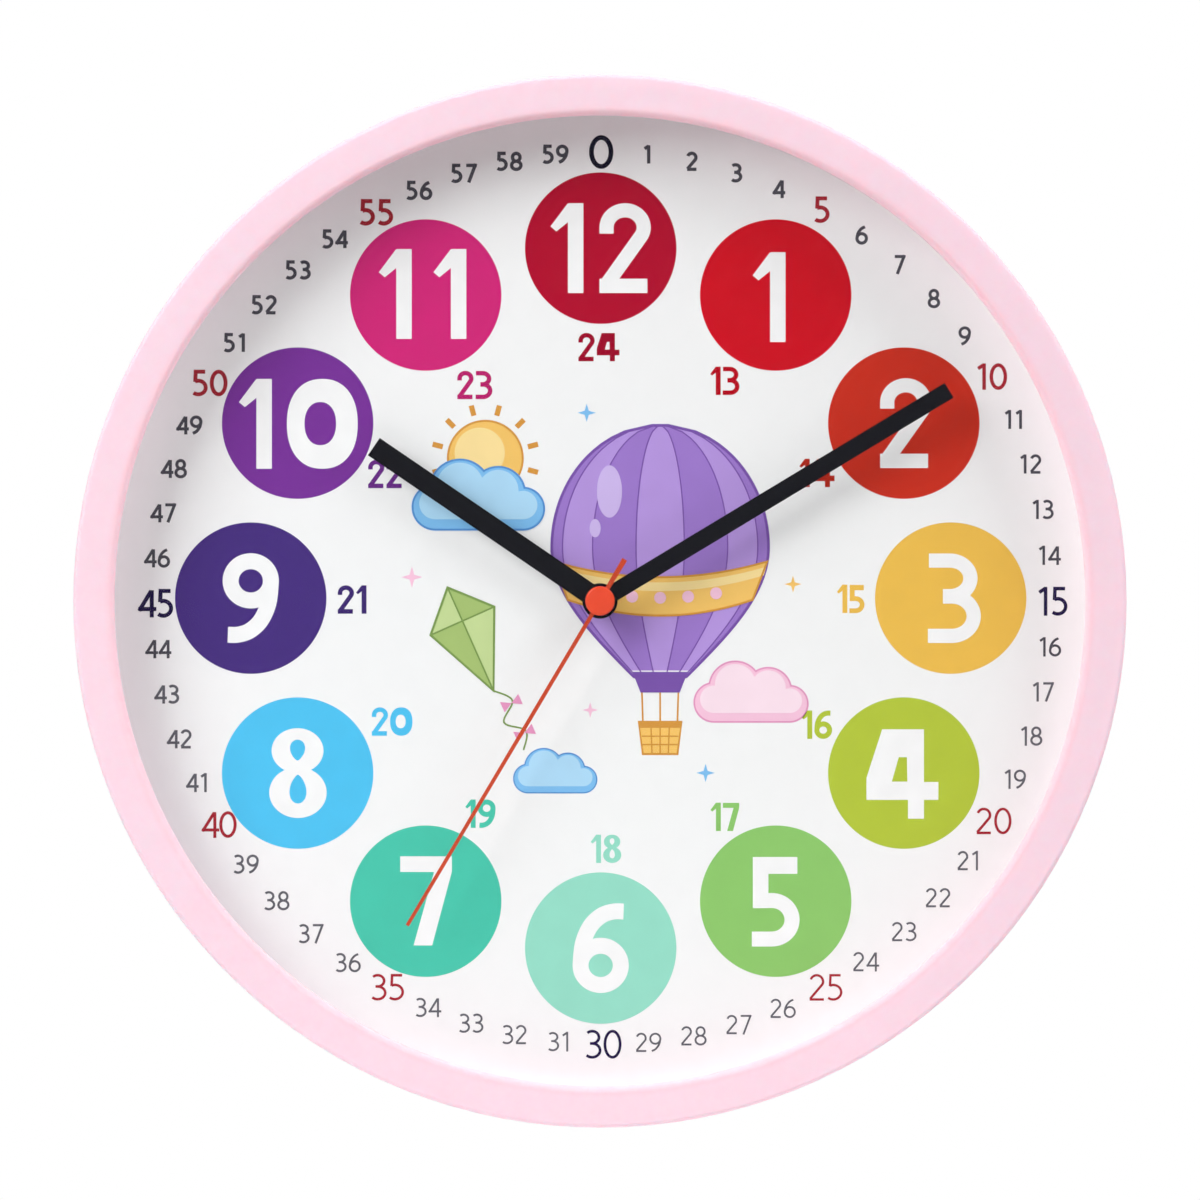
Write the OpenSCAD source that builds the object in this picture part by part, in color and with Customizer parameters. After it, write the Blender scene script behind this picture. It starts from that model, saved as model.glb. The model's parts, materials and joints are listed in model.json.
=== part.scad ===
// Teaching wall clock: round case, printed dial, three hands and a battery movement.
// Pieces are drawn with x to the right, y up and z from the wall to the viewer.
// The hands turn about x = y = 0. All sizes are in millimetres.

/* [Case] */
// outer diameter of the case
case_d = 300; // [285:1:340]
// depth from the rear rim to the front face
case_depth = 40; // [34:0.5:50]
// radial width of the front ring, out to the skirt
rim_w = 11.7; // [9.8:0.1:13]
// wall of the outer skirt
skirt_t = 2.2; // [1.8:0.1:2.6]
// wall of the front ring
front_t = 2.6; // [2:0.1:3.4]
// rounding of the outer front edge
outer_round = 1.25; // [0.75:0.25:3.5]
// rounding of the front edge of the opening
inner_round = 2; // [0.6:0.1:3]
// radial width of the lip that the lens rests on
lip_t = 2.4; // [2:0.1:2.8]

/* [Lens and dial] */
// thickness of the clear lens
lens_t = 2; // [1.5:0.1:2.5]
// free depth between the dial and the lens
hand_room = 13; // [12.6:0.2:13.6]
// how far the spacer ring stands back behind the opening's edge
spacer_back = 0.8; // [0:0.1:1.2]
// thickness of the dial
dial_t = 0.8; // [0.5:0.1:1.2]
// depth of the lens behind the front face
lens_setback = 4; // [2:0.5:8]

/* [Back plate] */
// thickness of the back plate
plate_t = 2.2; // [1.8:0.1:2.6]
// height of the ribs on the rear of the plate
rib_h = 4; // [2:0.5:6]
// thickness of the ribs
rib_t = 1.6; // [1.2:0.1:2.4]
// radius of the inner round rib
rib_inner_r = 70; // [60:1:80]
// radius of the outer round rib
rib_outer_r = 122; // [116:1:128]
// number of straight ribs between the round ones
rib_n = 12; // [8:4:16]

/* [Screws] */
// number of screws that hold the case together
case_screw_n = 6; // [4:1:8]
// shank diameter of the case and hanger screws
screw_d = 2.5; // [2:0.1:2.8]
// head diameter of the case and hanger screws
screw_head_d = 4.6; // [4:0.1:4.8]
// head height of the case and hanger screws
screw_head_h = 1.8; // [1.2:0.1:2.2]
// length of a case screw below its head
case_screw_l = 10; // [8:0.5:11]
// length of a hanger screw below its head
hanger_screw_l = 8; // [6:0.5:9]
// shank diameter of the bridge screws
bridge_screw_d = 1.4; // [1.2:0.1:1.6]
// length of a bridge screw below its head
bridge_screw_l = 5; // [3.5:0.5:6]

/* [Hanger] */
// height of the keyhole above the hands' axis
hanger_y = 95; // [92:1:98]
// diameter of the keyhole's round entry
keyhole_d = 9; // [8:0.5:10]
// width of the keyhole's slot
slot_w = 4.4; // [3.5:0.1:5]
// rise from the entry's centre to the slot's end centre
slot_rise = 9; // [8:0.5:10]
// thickness of the strap
strap_t = 1.2; // [0.8:0.1:1.6]
// height of the strap
strap_h = 26; // [24:1:30]
// outer width of the raised part of the strap
strap_w = 24; // [22:1:28]
// width of each foot of the strap
foot_w = 10; // [9:0.5:12]
// height of the posts that the feet sit on
hanger_post_h = 8; // [7:0.5:9]
// diameter of the posts that the feet sit on
hanger_post_d = 8; // [6:0.5:9]

/* [Movement] */
// width of the movement
movement_w = 56; // [55.6:0.1:60]
// height of the movement
movement_h = 56; // [55:0.5:60]
// thickness of the movement
movement_t = 16.2; // [16.2:0.1:18]
// the hands' axis is this far below the movement's top edge
axis_drop = 20; // [19.6:0.2:22]
// gap between the movement and the wall
wall_gap = 1; // [0.5:0.1:2]
// thickness of the pad between the movement and the plate
pad_t = 0.8; // [0.5:0.1:1.5]
// outer diameter of the pad
pad_d = 18; // [14:1:24]
// wall of the movement's two shells
shell_t = 1.4; // [1.2:0.1:1.6]
// front wall of the movement
face_t = 1.2; // [1:0.1:1.5]
// rounding of the movement's corners
corner_r = 3; // [1:0.5:4]
// diameter of the bush that passes through the dial
bush_d = 8; // [7.4:0.2:9]
// width of each clip that holds the movement
clip_w = 8; // [6:0.5:10]
// thickness of each clip
clip_t = 2; // [1.4:0.1:2.6]

/* [Battery] */
// diameter of the cell
cell_d = 14.5; // [14:0.1:14.5]
// length of the cell's can
cell_l = 49.4; // [44:0.1:56]
// diameter of the cell's nub
nub_d = 5.5; // [5:0.1:5.6]
// length of the cell's nub
nub_l = 1.1; // [1:0.1:1.3]
// thickness of the contact strips
contact_t = 0.4; // [0.3:0.05:0.5]
// width of the contact strips
contact_w = 2; // [1.5:0.1:2.5]
// height of the contact plates
contact_plate_w = 8.8; // [7:0.2:11]
// depth of the contact plates, along the clock's depth
contact_plate_h = 8; // [6:0.2:10]
// width of the spring on the negative contact
spring_w = 4; // [3:0.2:6]
// free length for that spring behind the cell
spring_room = 1.8; // [1.4:0.1:3]
// width of the contacts' tabs on the board
tab_w = 2; // [1.5:0.1:2.5]

/* [Hands] */
// clockwise angle of the hour hand as built
hour_angle = 304.3; // [0:0.1:360]
// clockwise angle of the minute hand as built
minute_angle = 58.9; // [0:0.1:360]
// clockwise angle of the second hand as built
second_angle = 210.7; // [0:0.1:360]
// length of the hour hand from the axis
hour_l = 78.2; // [60:0.2:95]
// width of the hour hand
hour_w = 6; // [4:0.05:8]
// length of the minute hand from the axis
minute_l = 116.4; // [95:0.2:128]
// width of the minute hand
minute_w = 4.95; // [3:0.05:7]
// length of the second hand from the axis
second_l = 107.7; // [90:0.1:128]
// width of the second hand beside its cap
second_w = 1.2; // [1:0.05:2.2]
// width of the second hand at its tip
second_tip_w = 1.05; // [0.6:0.05:2]
// length of the second hand's tail
tail_l = 13.8; // [10:0.2:24]
// width of the second hand's tail at its end
tail_w = 1.6; // [1.4:0.1:4]
// thickness of the hour and minute hands
hand_t = 0.5; // [0.3:0.05:0.7]
// thickness of the second hand
second_t = 0.4; // [0.3:0.05:0.5]
// diameter of the round ends of the hour and minute hands
hub_d = 10.1; // [9.4:0.1:12]
// diameter of the second hand's cap
cap_d = 8.4; // [6:0.1:9]
// height of the second hand's cap
cap_h = 0.9; // [0.7:0.05:1]
// rounding of the cap's front edge
cap_round = 0.6; // [0.2:0.05:0.65]
// height of the hour hand above the dial
hour_lift = 5.6; // [5.2:0.1:5.8]
// height of the minute hand above the dial
minute_lift = 7.8; // [7.6:0.1:8.2]
// height of the second hand above the dial
second_lift = 10.5; // [10.2:0.1:10.7]

/* [Wheels] */
// teeth on the rotor's pinion
rotor_teeth = 12; // [12:1:14]
// teeth on the intermediate wheel
inter_teeth = 60; // [50:2:70]
// teeth on the intermediate pinion
inter_pinion = 10; // [10:1:12]
// teeth on the second wheel
second_teeth = 60; // [50:2:70]
// teeth on the second pinion
second_pinion = 8; // [8:1:10]
// teeth on the third wheel
third_teeth = 60; // [50:2:70]
// teeth on the third pinion
third_pinion = 8; // [8:1:10]
// teeth on the centre wheel
centre_teeth = 64; // [56:2:72]
// teeth on the minute pinion
minute_pinion = 12; // [12:1:14]
// teeth on the motion wheel
motion_teeth = 36; // [34:1:40]
// teeth on the motion pinion
motion_pinion = 12; // [12:1:14]
// teeth on the hour wheel
hour_teeth = 48; // [44:1:52]
// distance from the hands' axis to the intermediate axis
inter_dist = 8.75; // [8.6:0.05:9]
// distance from the intermediate axis to the rotor's axis
rotor_dist = 9; // [8.8:0.05:9.2]
// direction of the rotor from the intermediate axis, degrees
rotor_dir = 225; // [222:1:228]
// distance from the hands' axis to the third axis
third_dist = 9.2; // [9:0.05:9.3]
// distance from the hands' axis to the motion axis, and on to the setting axis
motion_dist = 9.4; // [9.2:0.05:9.5]
// thickness of the thin wheels
wheel_t = 0.6; // [0.4:0.05:0.7]
// thickness of the train bridge
bridge_t = 1; // [0.8:0.1:1.1]
// the bridge's upper left post is this far in from its end
post_step = 5; // [4:0.2:6]
// diameter of the second arbor
arbor_d = 1; // [0.9:0.05:1.1]
// outer diameter of the minute shaft
minute_d = 3.4; // [3.2:0.05:3.5]
// outer diameter of the hour pipe
hour_d = 5; // [4.8:0.05:5.2]
// diameter of the small pivots
pivot_d = 0.7; // [0.6:0.05:0.8]
// diameter of the setting shaft
setting_d = 3; // [2.6:0.1:3.2]
// diameter of the setting knob
knob_d = 14; // [11:0.5:14.4]
// number of grips on the knob's edge
knob_grips = 16; // [8:1:24]

/* [Motor and circuit] */
// diameter of the rotor's magnet
magnet_d = 6; // [5:0.1:6.2]
// thickness of the stator
stator_t = 1.2; // [0.8:0.1:1.3]
// width of the stator's ring round its hole
stator_ring_w = 1.8; // [1.4:0.1:2]
// width of the stator's arm along the coil
stator_arm_w = 2.1; // [1.6:0.1:2.4]
// width of the stator's legs
stator_leg_w = 2.6; // [2.2:0.1:2.8]
// length of the coil over its flanges
coil_l = 23.5; // [20:0.5:23.5]
// diameter of the coil's flanges
coil_d = 6.4; // [5.4:0.1:6.4]
// thickness of the coil's flanges
flange_t = 0.8; // [0.6:0.1:1.2]
// depth of the winding below the flanges' edge
winding_drop = 0.3; // [0.1:0.1:0.8]
// width of the coil's core
core_w = 2.4; // [1.8:0.1:2.6]
// length of the circuit board
board_l = 18; // [17:0.5:18]
// width of the circuit board
board_w = 7.8; // [7:0.1:8]
// thickness of the circuit board
board_t = 1; // [0.8:0.1:1]
// distance of the board's posts from its ends
board_post_in = 4.7; // [4:0.1:6]
// distance of the board's posts from its upper edge
board_post_drop = 2; // [1.6:0.1:2.6]
// diameter of the quartz can
can_d = 2; // [1.8:0.1:2.4]
// length of the quartz can
can_l = 6; // [5:0.5:8]
// diameter of the chip's cover
chip_d = 4; // [3:0.2:4.6]
// height of the chip's cover
chip_h = 0.9; // [0.6:0.1:1.2]

/* [Clearances] */
// gap round the case's large loose pieces
fit_gap = 0.3; // [0.2:0.05:0.4]
// radial gap round the turning shafts
run_gap = 0.06; // [0.03:0.01:0.08]
// radial gap round the small pivots
pivot_gap = 0.05; // [0.03:0.01:0.08]
// radial gap round a piece that is pushed on
push_gap = 0.02; // [0.01:0.01:0.04]
// radial gap of a screw in its pilot hole
pilot_gap = 0.05; // [0.03:0.01:0.08]
// radial gap of a screw in the piece that it clamps
screw_gap = 0.35; // [0.2:0.05:0.4]
// play of the cell in its bay
cell_gap = 0.25; // [0.15:0.05:0.3]
// gap between the cell and each contact
end_gap = 0.1; // [0.05:0.05:0.2]
// gap between the hour pipe and the minute hand's collet
collet_gap = 0.6; // [0.3:0.1:0.8]
// thinning of each tooth, for play between teeth
backlash = 0.06; // [0.04:0.01:0.08]

/* [Hidden] */
$fn = 96;
arc_steps = 6;
flank_steps = 3;
pressure = 30;
addendum = 0.8;
dedendum = 1.05;
// how far joined lumps of one piece run into each other
sink = 0.2;
// how far a cut runs past a face
over = 1;

// depths from the wall
rear_z = wall_gap;
rear_in = rear_z + shell_t;
face_z = rear_z + movement_t;
face_in = face_z - face_t;
plate_rear = face_z + pad_t;
dial_rear = plate_rear + plate_t;
dial_z = dial_rear + dial_t;
lens_rear = dial_z + hand_room;
lens_front = lens_rear + lens_t;
front_z = lens_front + lens_setback;
rim_z = front_z - case_depth;
bush_end = dial_z + 0.4;
inter_z = rear_in + 1;
second_z = inter_z + wheel_t + 0.8;
third_z = second_z + wheel_t + 0.6;
bridge_rear = third_z + wheel_t + 0.6;
bridge_front = bridge_rear + bridge_t;
centre_z = bridge_front + 0.4;
washer_z = centre_z + wheel_t + 0.05;
washer_t = 0.3;
cannon_z = washer_z + washer_t + 0.05;
cannon_t = 1.6;
motion_z = cannon_z + 0.3;
motion_t = 0.8;
hour_z = cannon_z + cannon_t + 0.8;
hour_t = 0.8;
motion_end = hour_z + hour_t + 0.4;
parting_z = bridge_rear;
stator_z = bridge_rear - 1 - stator_t;
core_z = stator_z + stator_t;
core_t = stator_t;
coil_z = core_z + core_t / 2;
board_z = parting_z;
board_front = board_z + board_t;
hour_hand_z = dial_z + hour_lift;
minute_hand_z = dial_z + minute_lift;
second_hand_z = dial_z + second_lift;
hour_pipe_end = hour_hand_z + hand_t + 0.2;
minute_shaft_end = minute_hand_z + hand_t + 0.4;
arbor_end = second_hand_z - 0.1;
tube_z = minute_shaft_end + 0.2;
strap_z = wall_gap;
foot_front = plate_rear - hanger_post_h;

// radii of the case
case_r = case_d / 2;
skirt_in = case_r - skirt_t;
opening_r = case_r - rim_w;
// the opening's fillet leaves a straight land in front of the lens
fillet_land = 0.4;
opening_fillet = min(inner_round, lens_setback - fillet_land);
seat_r = opening_r + lip_t;
plate_r = skirt_in - fit_gap;
boss_d = skirt_in + sink - seat_r - fit_gap;
boss_r = seat_r + fit_gap + boss_d / 2;
bush_r = bush_d / 2;
dial_hole_r = bush_r + fit_gap + 0.1;
plate_hole_r = bush_r + fit_gap;

// outline of the movement
x_out = movement_w / 2;
x_in = x_out - shell_t;
top_out = axis_drop;
top_in = top_out - shell_t;
low_out = axis_drop - movement_h;
low_in = low_out + shell_t;
bay_top = low_in + cell_d + 2 * cell_gap;
gear_low = bay_top + shell_t;
cell_y = (low_in + bay_top) / 2;
cell_z = face_in - cell_gap - cell_d / 2;
bay_l = 2 * contact_t + end_gap + nub_l + cell_l + spring_room;
bay_in = max(x_in, bay_l / 2);
bay_out = bay_in + shell_t;
cell_end = bay_in - contact_t - end_gap;
cell_x = cell_end - nub_l - cell_l;
clip_gap = 1.5;
lug_w = clip_gap - fit_gap;
lug_z = face_z - 3.6;
clip_ys = [axis_drop * 0.4, low_out * 0.66];
knob_r = knob_d / 2;
recess_r = knob_r + 0.6;
recess_z = rear_z + 2.2;
knob_z = rear_z + 0.2;
knob_end = recess_z - 0.2;

// wheel axes
inter_at = [-inter_dist, 0];
rotor_at = inter_at + rotor_dist * [cos(rotor_dir), sin(rotor_dir)];
third_at = [0, third_dist];
motion_at = [motion_dist, 0];
setting_at = [2 * motion_dist, 0];
rotor_m = 2 * rotor_dist / (inter_teeth + rotor_teeth);
inter_m = 2 * inter_dist / (second_teeth + inter_pinion);
third_m = 2 * third_dist / (third_teeth + second_pinion);
centre_m = 2 * third_dist / (centre_teeth + third_pinion);
motion_m = 2 * motion_dist / (motion_teeth + minute_pinion);
hour_m = 2 * motion_dist / (hour_teeth + motion_pinion);
arbor_r = arbor_d / 2;
minute_r = minute_d / 2;
hour_r = hour_d / 2;
pivot_r = pivot_d / 2;
setting_r = setting_d / 2;

// bridge, motor and circuit places
bridge_x0 = -x_in + 1.6;
bridge_x1 = setting_at.x - setting_r - 2.8;
bridge_y0 = -9.4;
bridge_y1 = 14;
post_r = 1.7;
post_ats = [
    [bridge_x0 + post_r + 0.4, -3],
    [bridge_x0 + post_r + post_step, bridge_y1 - post_r - 1.6],
    [bridge_x1 - post_r - 0.4, bridge_y1 - post_r - 0.4]
];
stator_hole_r = magnet_d / 2 + 0.4;
stator_r = stator_hole_r + stator_ring_w;
coil_y = gear_low + coil_d / 2 + contact_t + 0.4;
coil_x0 = -20.5;
coil_x1 = coil_x0 + coil_l;
leg_low = coil_y - core_w / 2 - 0.2;
arm_y = coil_y + coil_d / 2 + 0.4;
arm_top = arm_y + stator_arm_w;
barrel_r = norm([core_w, core_t]) / 2 + 0.6;
winding_r = coil_d / 2 - winding_drop;
board_x1 = x_in - contact_t;
board_x0 = board_x1 - board_l;
board_y0 = gear_low + contact_t + 0.2;
board_y1 = board_y0 + board_w;
board_post_y = board_y1 - board_post_drop;
board_posts = [[board_x0 + board_post_in, board_post_y], [board_x1 - board_post_in, board_post_y]];
tab_y = board_y0 + 1.4;
shoulder_in = tab_y + tab_w + 0.6;
contact_z0 = board_front;
contact_z1 = board_front + contact_w;

// half width of the movement at height y, wider at the bay where the cell needs it
function side_x(y) = y < gear_low ? bay_out : x_out;

function polar(r, a) = [r * cos(a), r * sin(a)];

function arc(c, r, a0, a1) =
    [for (k = [0:arc_steps]) c + polar(r, a0 + (a1 - a0) * k / arc_steps)];

function involute(a) = tan(a) * 180 / PI - a;

// half the angle of a tooth at radius r
function half_tooth(m, z, r) =
    let (pitch = m * z / 2, base = pitch * cos(pressure))
    90 / z - backlash * 90 / (PI * pitch) + involute(pressure)
    - (r > base ? involute(acos(base / r)) : 0);

// radius and half angle up one side of a tooth
function tooth_side(m, z) =
    let (
        pitch = m * z / 2,
        root = pitch - dedendum * m,
        tip = pitch + addendum * m,
        start = max(root, pitch * cos(pressure))
    )
    concat(
        root < start ? [[root, half_tooth(m, z, start)]] : [],
        [for (k = [0:flank_steps])
            let (r = start + (tip - start) * k / flank_steps) [r, half_tooth(m, z, r)]]
    );

function gear_points(m, z, turn) =
    let (side = tooth_side(m, z), n = len(side) - 1)
    [for (i = [0:z - 1]) let (c = turn + i * 360 / z)
        each concat(
            [for (k = [0:n]) polar(side[k][0], c - side[k][1])],
            [for (k = [n:-1:0]) polar(side[k][0], c + side[k][1])]
        )];

// turn of a wheel with zb teeth, at direction dir from one with za teeth turned by a
function mesh_turn(a, za, zb, dir) = dir + 180 + (0.5 - (a - dir) * za / 360) * 360 / zb;

third_turn = mesh_turn(0, second_pinion, third_teeth, 90);
inter_turn = mesh_turn(0, second_teeth, inter_pinion, 180);
rotor_turn = mesh_turn(0, inter_teeth, rotor_teeth, rotor_dir);
centre_turn = mesh_turn(0, third_pinion, centre_teeth, 270);
motion_turn = mesh_turn(0, minute_pinion, motion_teeth, 0);
hour_turn = mesh_turn(0, motion_pinion, hour_teeth, 180);
setting_turn = mesh_turn(motion_turn, motion_teeth, minute_pinion, 0);

module at(p) {
    translate([p.x, p.y, 0])
        children();
}

module rod(r, z0, z1) {
    translate([0, 0, z0])
        cylinder(r = r, h = z1 - z0);
}

module tube(r, bore, z0, z1) {
    difference() {
        rod(r, z0, z1);
        rod(bore, z0 - over, z1 + over);
    }
}

module slab(x0, x1, y0, y1, z0, z1) {
    translate([x0, y0, z0])
        cube([x1 - x0, y1 - y0, z1 - z0]);
}

module rounded_slab(x0, x1, y0, y1, r, z0, z1) {
    translate([0, 0, z0])
        linear_extrude(z1 - z0)
            polygon(concat(
                arc([x1 - r, y0 + r], r, -90, 0),
                arc([x1 - r, y1 - r], r, 0, 90),
                arc([x0 + r, y1 - r], r, 90, 180),
                arc([x0 + r, y0 + r], r, 180, 270)
            ));
}

module gear(m, z, turn, z0, z1) {
    translate([0, 0, z0])
        linear_extrude(z1 - z0)
            polygon(gear_points(m, z, turn));
}

// pan-head screw with a cross recess, head towards the wall, its seat at z
module screw(z, d, head_d, head_h, l) {
    slot = head_d * 0.14;
    difference() {
        union() {
            rod(d / 2, z - sink, z + l);
            translate([0, 0, z])
                rotate_extrude()
                    polygon([
                        [0, 0],
                        [head_d / 2, 0],
                        [head_d / 2, -head_h * 0.55],
                        [head_d * 0.36, -head_h],
                        [0, -head_h]
                    ]);
        }
        slab(-slot, slot, -head_d * 0.3, head_d * 0.3, z - head_h - over, z - head_h * 0.4);
        slab(-head_d * 0.3, head_d * 0.3, -slot, slot, z - head_h - over, z - head_h * 0.4);
    }
}

module case_screw_places() {
    for (i = [0:case_screw_n - 1])
        rotate([0, 0, 360 * i / case_screw_n])
            translate([boss_r, 0, 0])
                children();
}

hanger_post_x = strap_w / 2 + foot_w / 2;
hanger_post_y = hanger_y + strap_h * 0.15;

module hanger_screw_places() {
    for (s = [-1, 1])
        at([s * hanger_post_x, hanger_post_y])
            children();
}

// case

module bezel() {
    outer_at = [case_r - outer_round, front_z - outer_round];
    inner_at = [opening_r + opening_fillet, front_z - opening_fillet];
    color([0.99, 0.84, 0.89])
    difference() {
        union() {
            rotate_extrude()
                polygon(concat(
                    [[skirt_in, rim_z], [case_r, rim_z]],
                    arc(outer_at, outer_round, 0, 90),
                    arc(inner_at, opening_fillet, 90, 180),
                    [
                        [opening_r, lens_front],
                        [seat_r, lens_front],
                        [seat_r, front_z - front_t],
                        [skirt_in, front_z - front_t]
                    ]
                ));
            case_screw_places()
                rod(boss_d / 2, dial_rear, front_z - front_t + sink);
        }
        case_screw_places()
            rod(screw_d / 2 + pilot_gap, dial_rear - over, plate_rear + case_screw_l + 1);
    }
}

module lens() {
    color([0.9, 0.95, 0.97, 0.2])
        rod(seat_r, lens_rear, lens_front);
}

module spacer_ring() {
    color([0.99, 0.84, 0.89])
        tube(seat_r, opening_r + spacer_back, dial_z, lens_rear);
}

module dial() {
    color([0.97, 0.97, 0.97])
        tube(seat_r, dial_hole_r, dial_rear, dial_z);
}

module clip(side, y) {
    clip_x = side_x(y) + clip_gap;
    x0 = side > 0 ? clip_x : -clip_x - clip_t;
    b0 = side > 0 ? clip_x - lug_w : -clip_x - sink;
    slab(x0, x0 + clip_t, y - clip_w / 2, y + clip_w / 2, lug_z - 1.8, plate_rear + sink);
    slab(b0, b0 + lug_w + sink, y - clip_w / 2, y + clip_w / 2, lug_z - 1.8, lug_z - 0.2);
}

module back_plate() {
    color([0.93, 0.93, 0.92])
    difference() {
        union() {
            rod(plate_r, plate_rear, dial_rear);
            for (r = [rib_inner_r, rib_outer_r])
                tube(r + rib_t / 2, r - rib_t / 2, plate_rear - rib_h, plate_rear + sink);
            for (i = [0:rib_n - 1])
                rotate([0, 0, 360 * (i + 0.5) / rib_n])
                    slab(rib_inner_r, rib_outer_r, -rib_t / 2, rib_t / 2,
                        plate_rear - rib_h, plate_rear + sink);
            hanger_screw_places()
                rod(hanger_post_d / 2, foot_front, plate_rear + sink);
            for (s = [-1, 1], y = clip_ys)
                clip(s, y);
        }
        rod(plate_hole_r, plate_rear - over, dial_rear + over);
        case_screw_places()
            rod(screw_d / 2 + screw_gap, plate_rear - over, dial_rear + over);
        hanger_screw_places()
            rod(screw_d / 2 + pilot_gap, foot_front - over, dial_rear - 0.8);
    }
}

module case_screws() {
    color([0.75, 0.76, 0.78])
        case_screw_places()
            screw(plate_rear, screw_d, screw_head_d, screw_head_h, case_screw_l);
}

// hanger

module hanger_strap() {
    w0 = strap_w / 2;
    w1 = w0 + foot_w;
    y1 = hanger_y + strap_h * 0.65;
    color([0.78, 0.79, 0.8])
    difference() {
        translate([0, y1, 0])
            rotate([90, 0, 0])
                linear_extrude(strap_h)
                    polygon([
                        [-w1, foot_front],
                        [-w1, foot_front - strap_t],
                        [-w0, foot_front - strap_t],
                        [-w0, strap_z],
                        [w0, strap_z],
                        [w0, foot_front - strap_t],
                        [w1, foot_front - strap_t],
                        [w1, foot_front],
                        [w0 - strap_t, foot_front],
                        [w0 - strap_t, strap_z + strap_t],
                        [-w0 + strap_t, strap_z + strap_t],
                        [-w0 + strap_t, foot_front]
                    ]);
        at([0, hanger_y])
            rod(keyhole_d / 2, strap_z - over, strap_z + strap_t + over);
        at([0, hanger_y + slot_rise])
            rod(slot_w / 2, strap_z - over, strap_z + strap_t + over);
        slab(-slot_w / 2, slot_w / 2, hanger_y, hanger_y + slot_rise,
            strap_z - over, strap_z + strap_t + over);
        hanger_screw_places()
            rod(screw_d / 2 + screw_gap, foot_front - strap_t - over, foot_front + over);
    }
}

module hanger_screws() {
    color([0.75, 0.76, 0.78])
        hanger_screw_places()
            screw(foot_front - strap_t, screw_d, screw_head_d, screw_head_h, hanger_screw_l);
}

// movement shells

// outline of both shells, with shoulders at the bay where it is wider than the gear room
module shell_block(z0, z1) {
    rounded_slab(-x_out, x_out, low_out, top_out, corner_r, z0, z1);
    if (bay_out > x_out + push_gap)
        rounded_slab(-bay_out, bay_out, low_out, shoulder_in + shell_t, corner_r, z0, z1);
}

module gear_room(z0, z1) {
    slab(-x_in, x_in, gear_low, top_in, z0, z1);
    if (bay_out > x_out + push_gap)
        slab(-bay_in, bay_in, gear_low, shoulder_in, z0, z1);
}

module movement_front_shell() {
    color([0.12, 0.12, 0.13])
    difference() {
        union() {
            difference() {
                shell_block(parting_z, face_z);
                gear_room(parting_z - over, face_in);
                slab(-bay_in, bay_in, low_in, bay_top, parting_z - over, face_in);
            }
            for (s = [-1, 1], y = clip_ys) let (x = side_x(y))
                slab(s > 0 ? x - sink : -x - lug_w, s > 0 ? x + lug_w : -x + sink,
                    y - clip_w / 2 - 1, y + clip_w / 2 + 1, lug_z, lug_z + 2.4);
            rod(bush_r, face_in + sink, bush_end);
            for (p = post_ats)
                at(p)
                    rod(post_r, bridge_front, face_in + sink);
            for (p = board_posts)
                at(p)
                    rod(1.2, board_front, face_in + sink);
            at(third_at)
                rod(1.2, centre_z + wheel_t + 0.6, face_in + sink);
            at(motion_at)
                rod(1.4, motion_end + 0.3, face_in + sink);
            at(setting_at)
                rod(2, cannon_z + 1.9, face_in + sink);
        }
        rod(hour_r + run_gap, face_in - over, bush_end + over);
        for (p = post_ats)
            at(p)
                rod(bridge_screw_d / 2 + pilot_gap, bridge_front - over, bridge_rear + bridge_screw_l + 0.5);
        at(third_at)
            rod(pivot_r + pivot_gap, centre_z + wheel_t, centre_z + wheel_t + 1.8);
        at(motion_at)
            rod(pivot_r + pivot_gap, motion_end, motion_end + 1.4);
        at(setting_at)
            rod(setting_r * 0.55 + pivot_gap, cannon_z + 1.4, cannon_z + 3.6);
        slab(-bay_in, -bay_in + contact_t + end_gap, bay_top - over, gear_low + over,
            contact_z0 - end_gap, contact_z1 + end_gap);
        slab(bay_in - contact_t - end_gap, bay_in, bay_top - over, gear_low + over,
            contact_z0 - end_gap, contact_z1 + end_gap);
    }
}

module movement_rear_shell() {
    color([0.12, 0.12, 0.13])
    difference() {
        union() {
            difference() {
                shell_block(rear_z, parting_z);
                gear_room(rear_in, parting_z + over);
                slab(-bay_in, bay_in, low_in, bay_top, rear_z - over, parting_z + over);
            }
            at(setting_at)
                rod(recess_r + 1.2, rear_z, recess_z + 1.2);
            for (p = [[0, 0], inter_at, third_at])
                at(p)
                    rod(1.8, rear_in - sink, rear_in + 0.6);
            at(rotor_at)
                rod(1.6, rear_in - sink, rear_in + 0.4);
        }
        at(setting_at)
            rod(recess_r, rear_z - over, recess_z);
        at(setting_at)
            rod(setting_r + run_gap, recess_z - over, recess_z + 1.2 + over);
        rod(arbor_r + pivot_gap, rear_in - 0.6, rear_in + over);
        for (p = [inter_at, third_at, rotor_at])
            at(p)
                rod(pivot_r + pivot_gap, rear_in - 0.6, rear_in + over);
    }
}

module pad() {
    color([0.2, 0.2, 0.2])
        tube(pad_d / 2, bush_r + 0.2, face_z, plate_rear);
}

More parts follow.
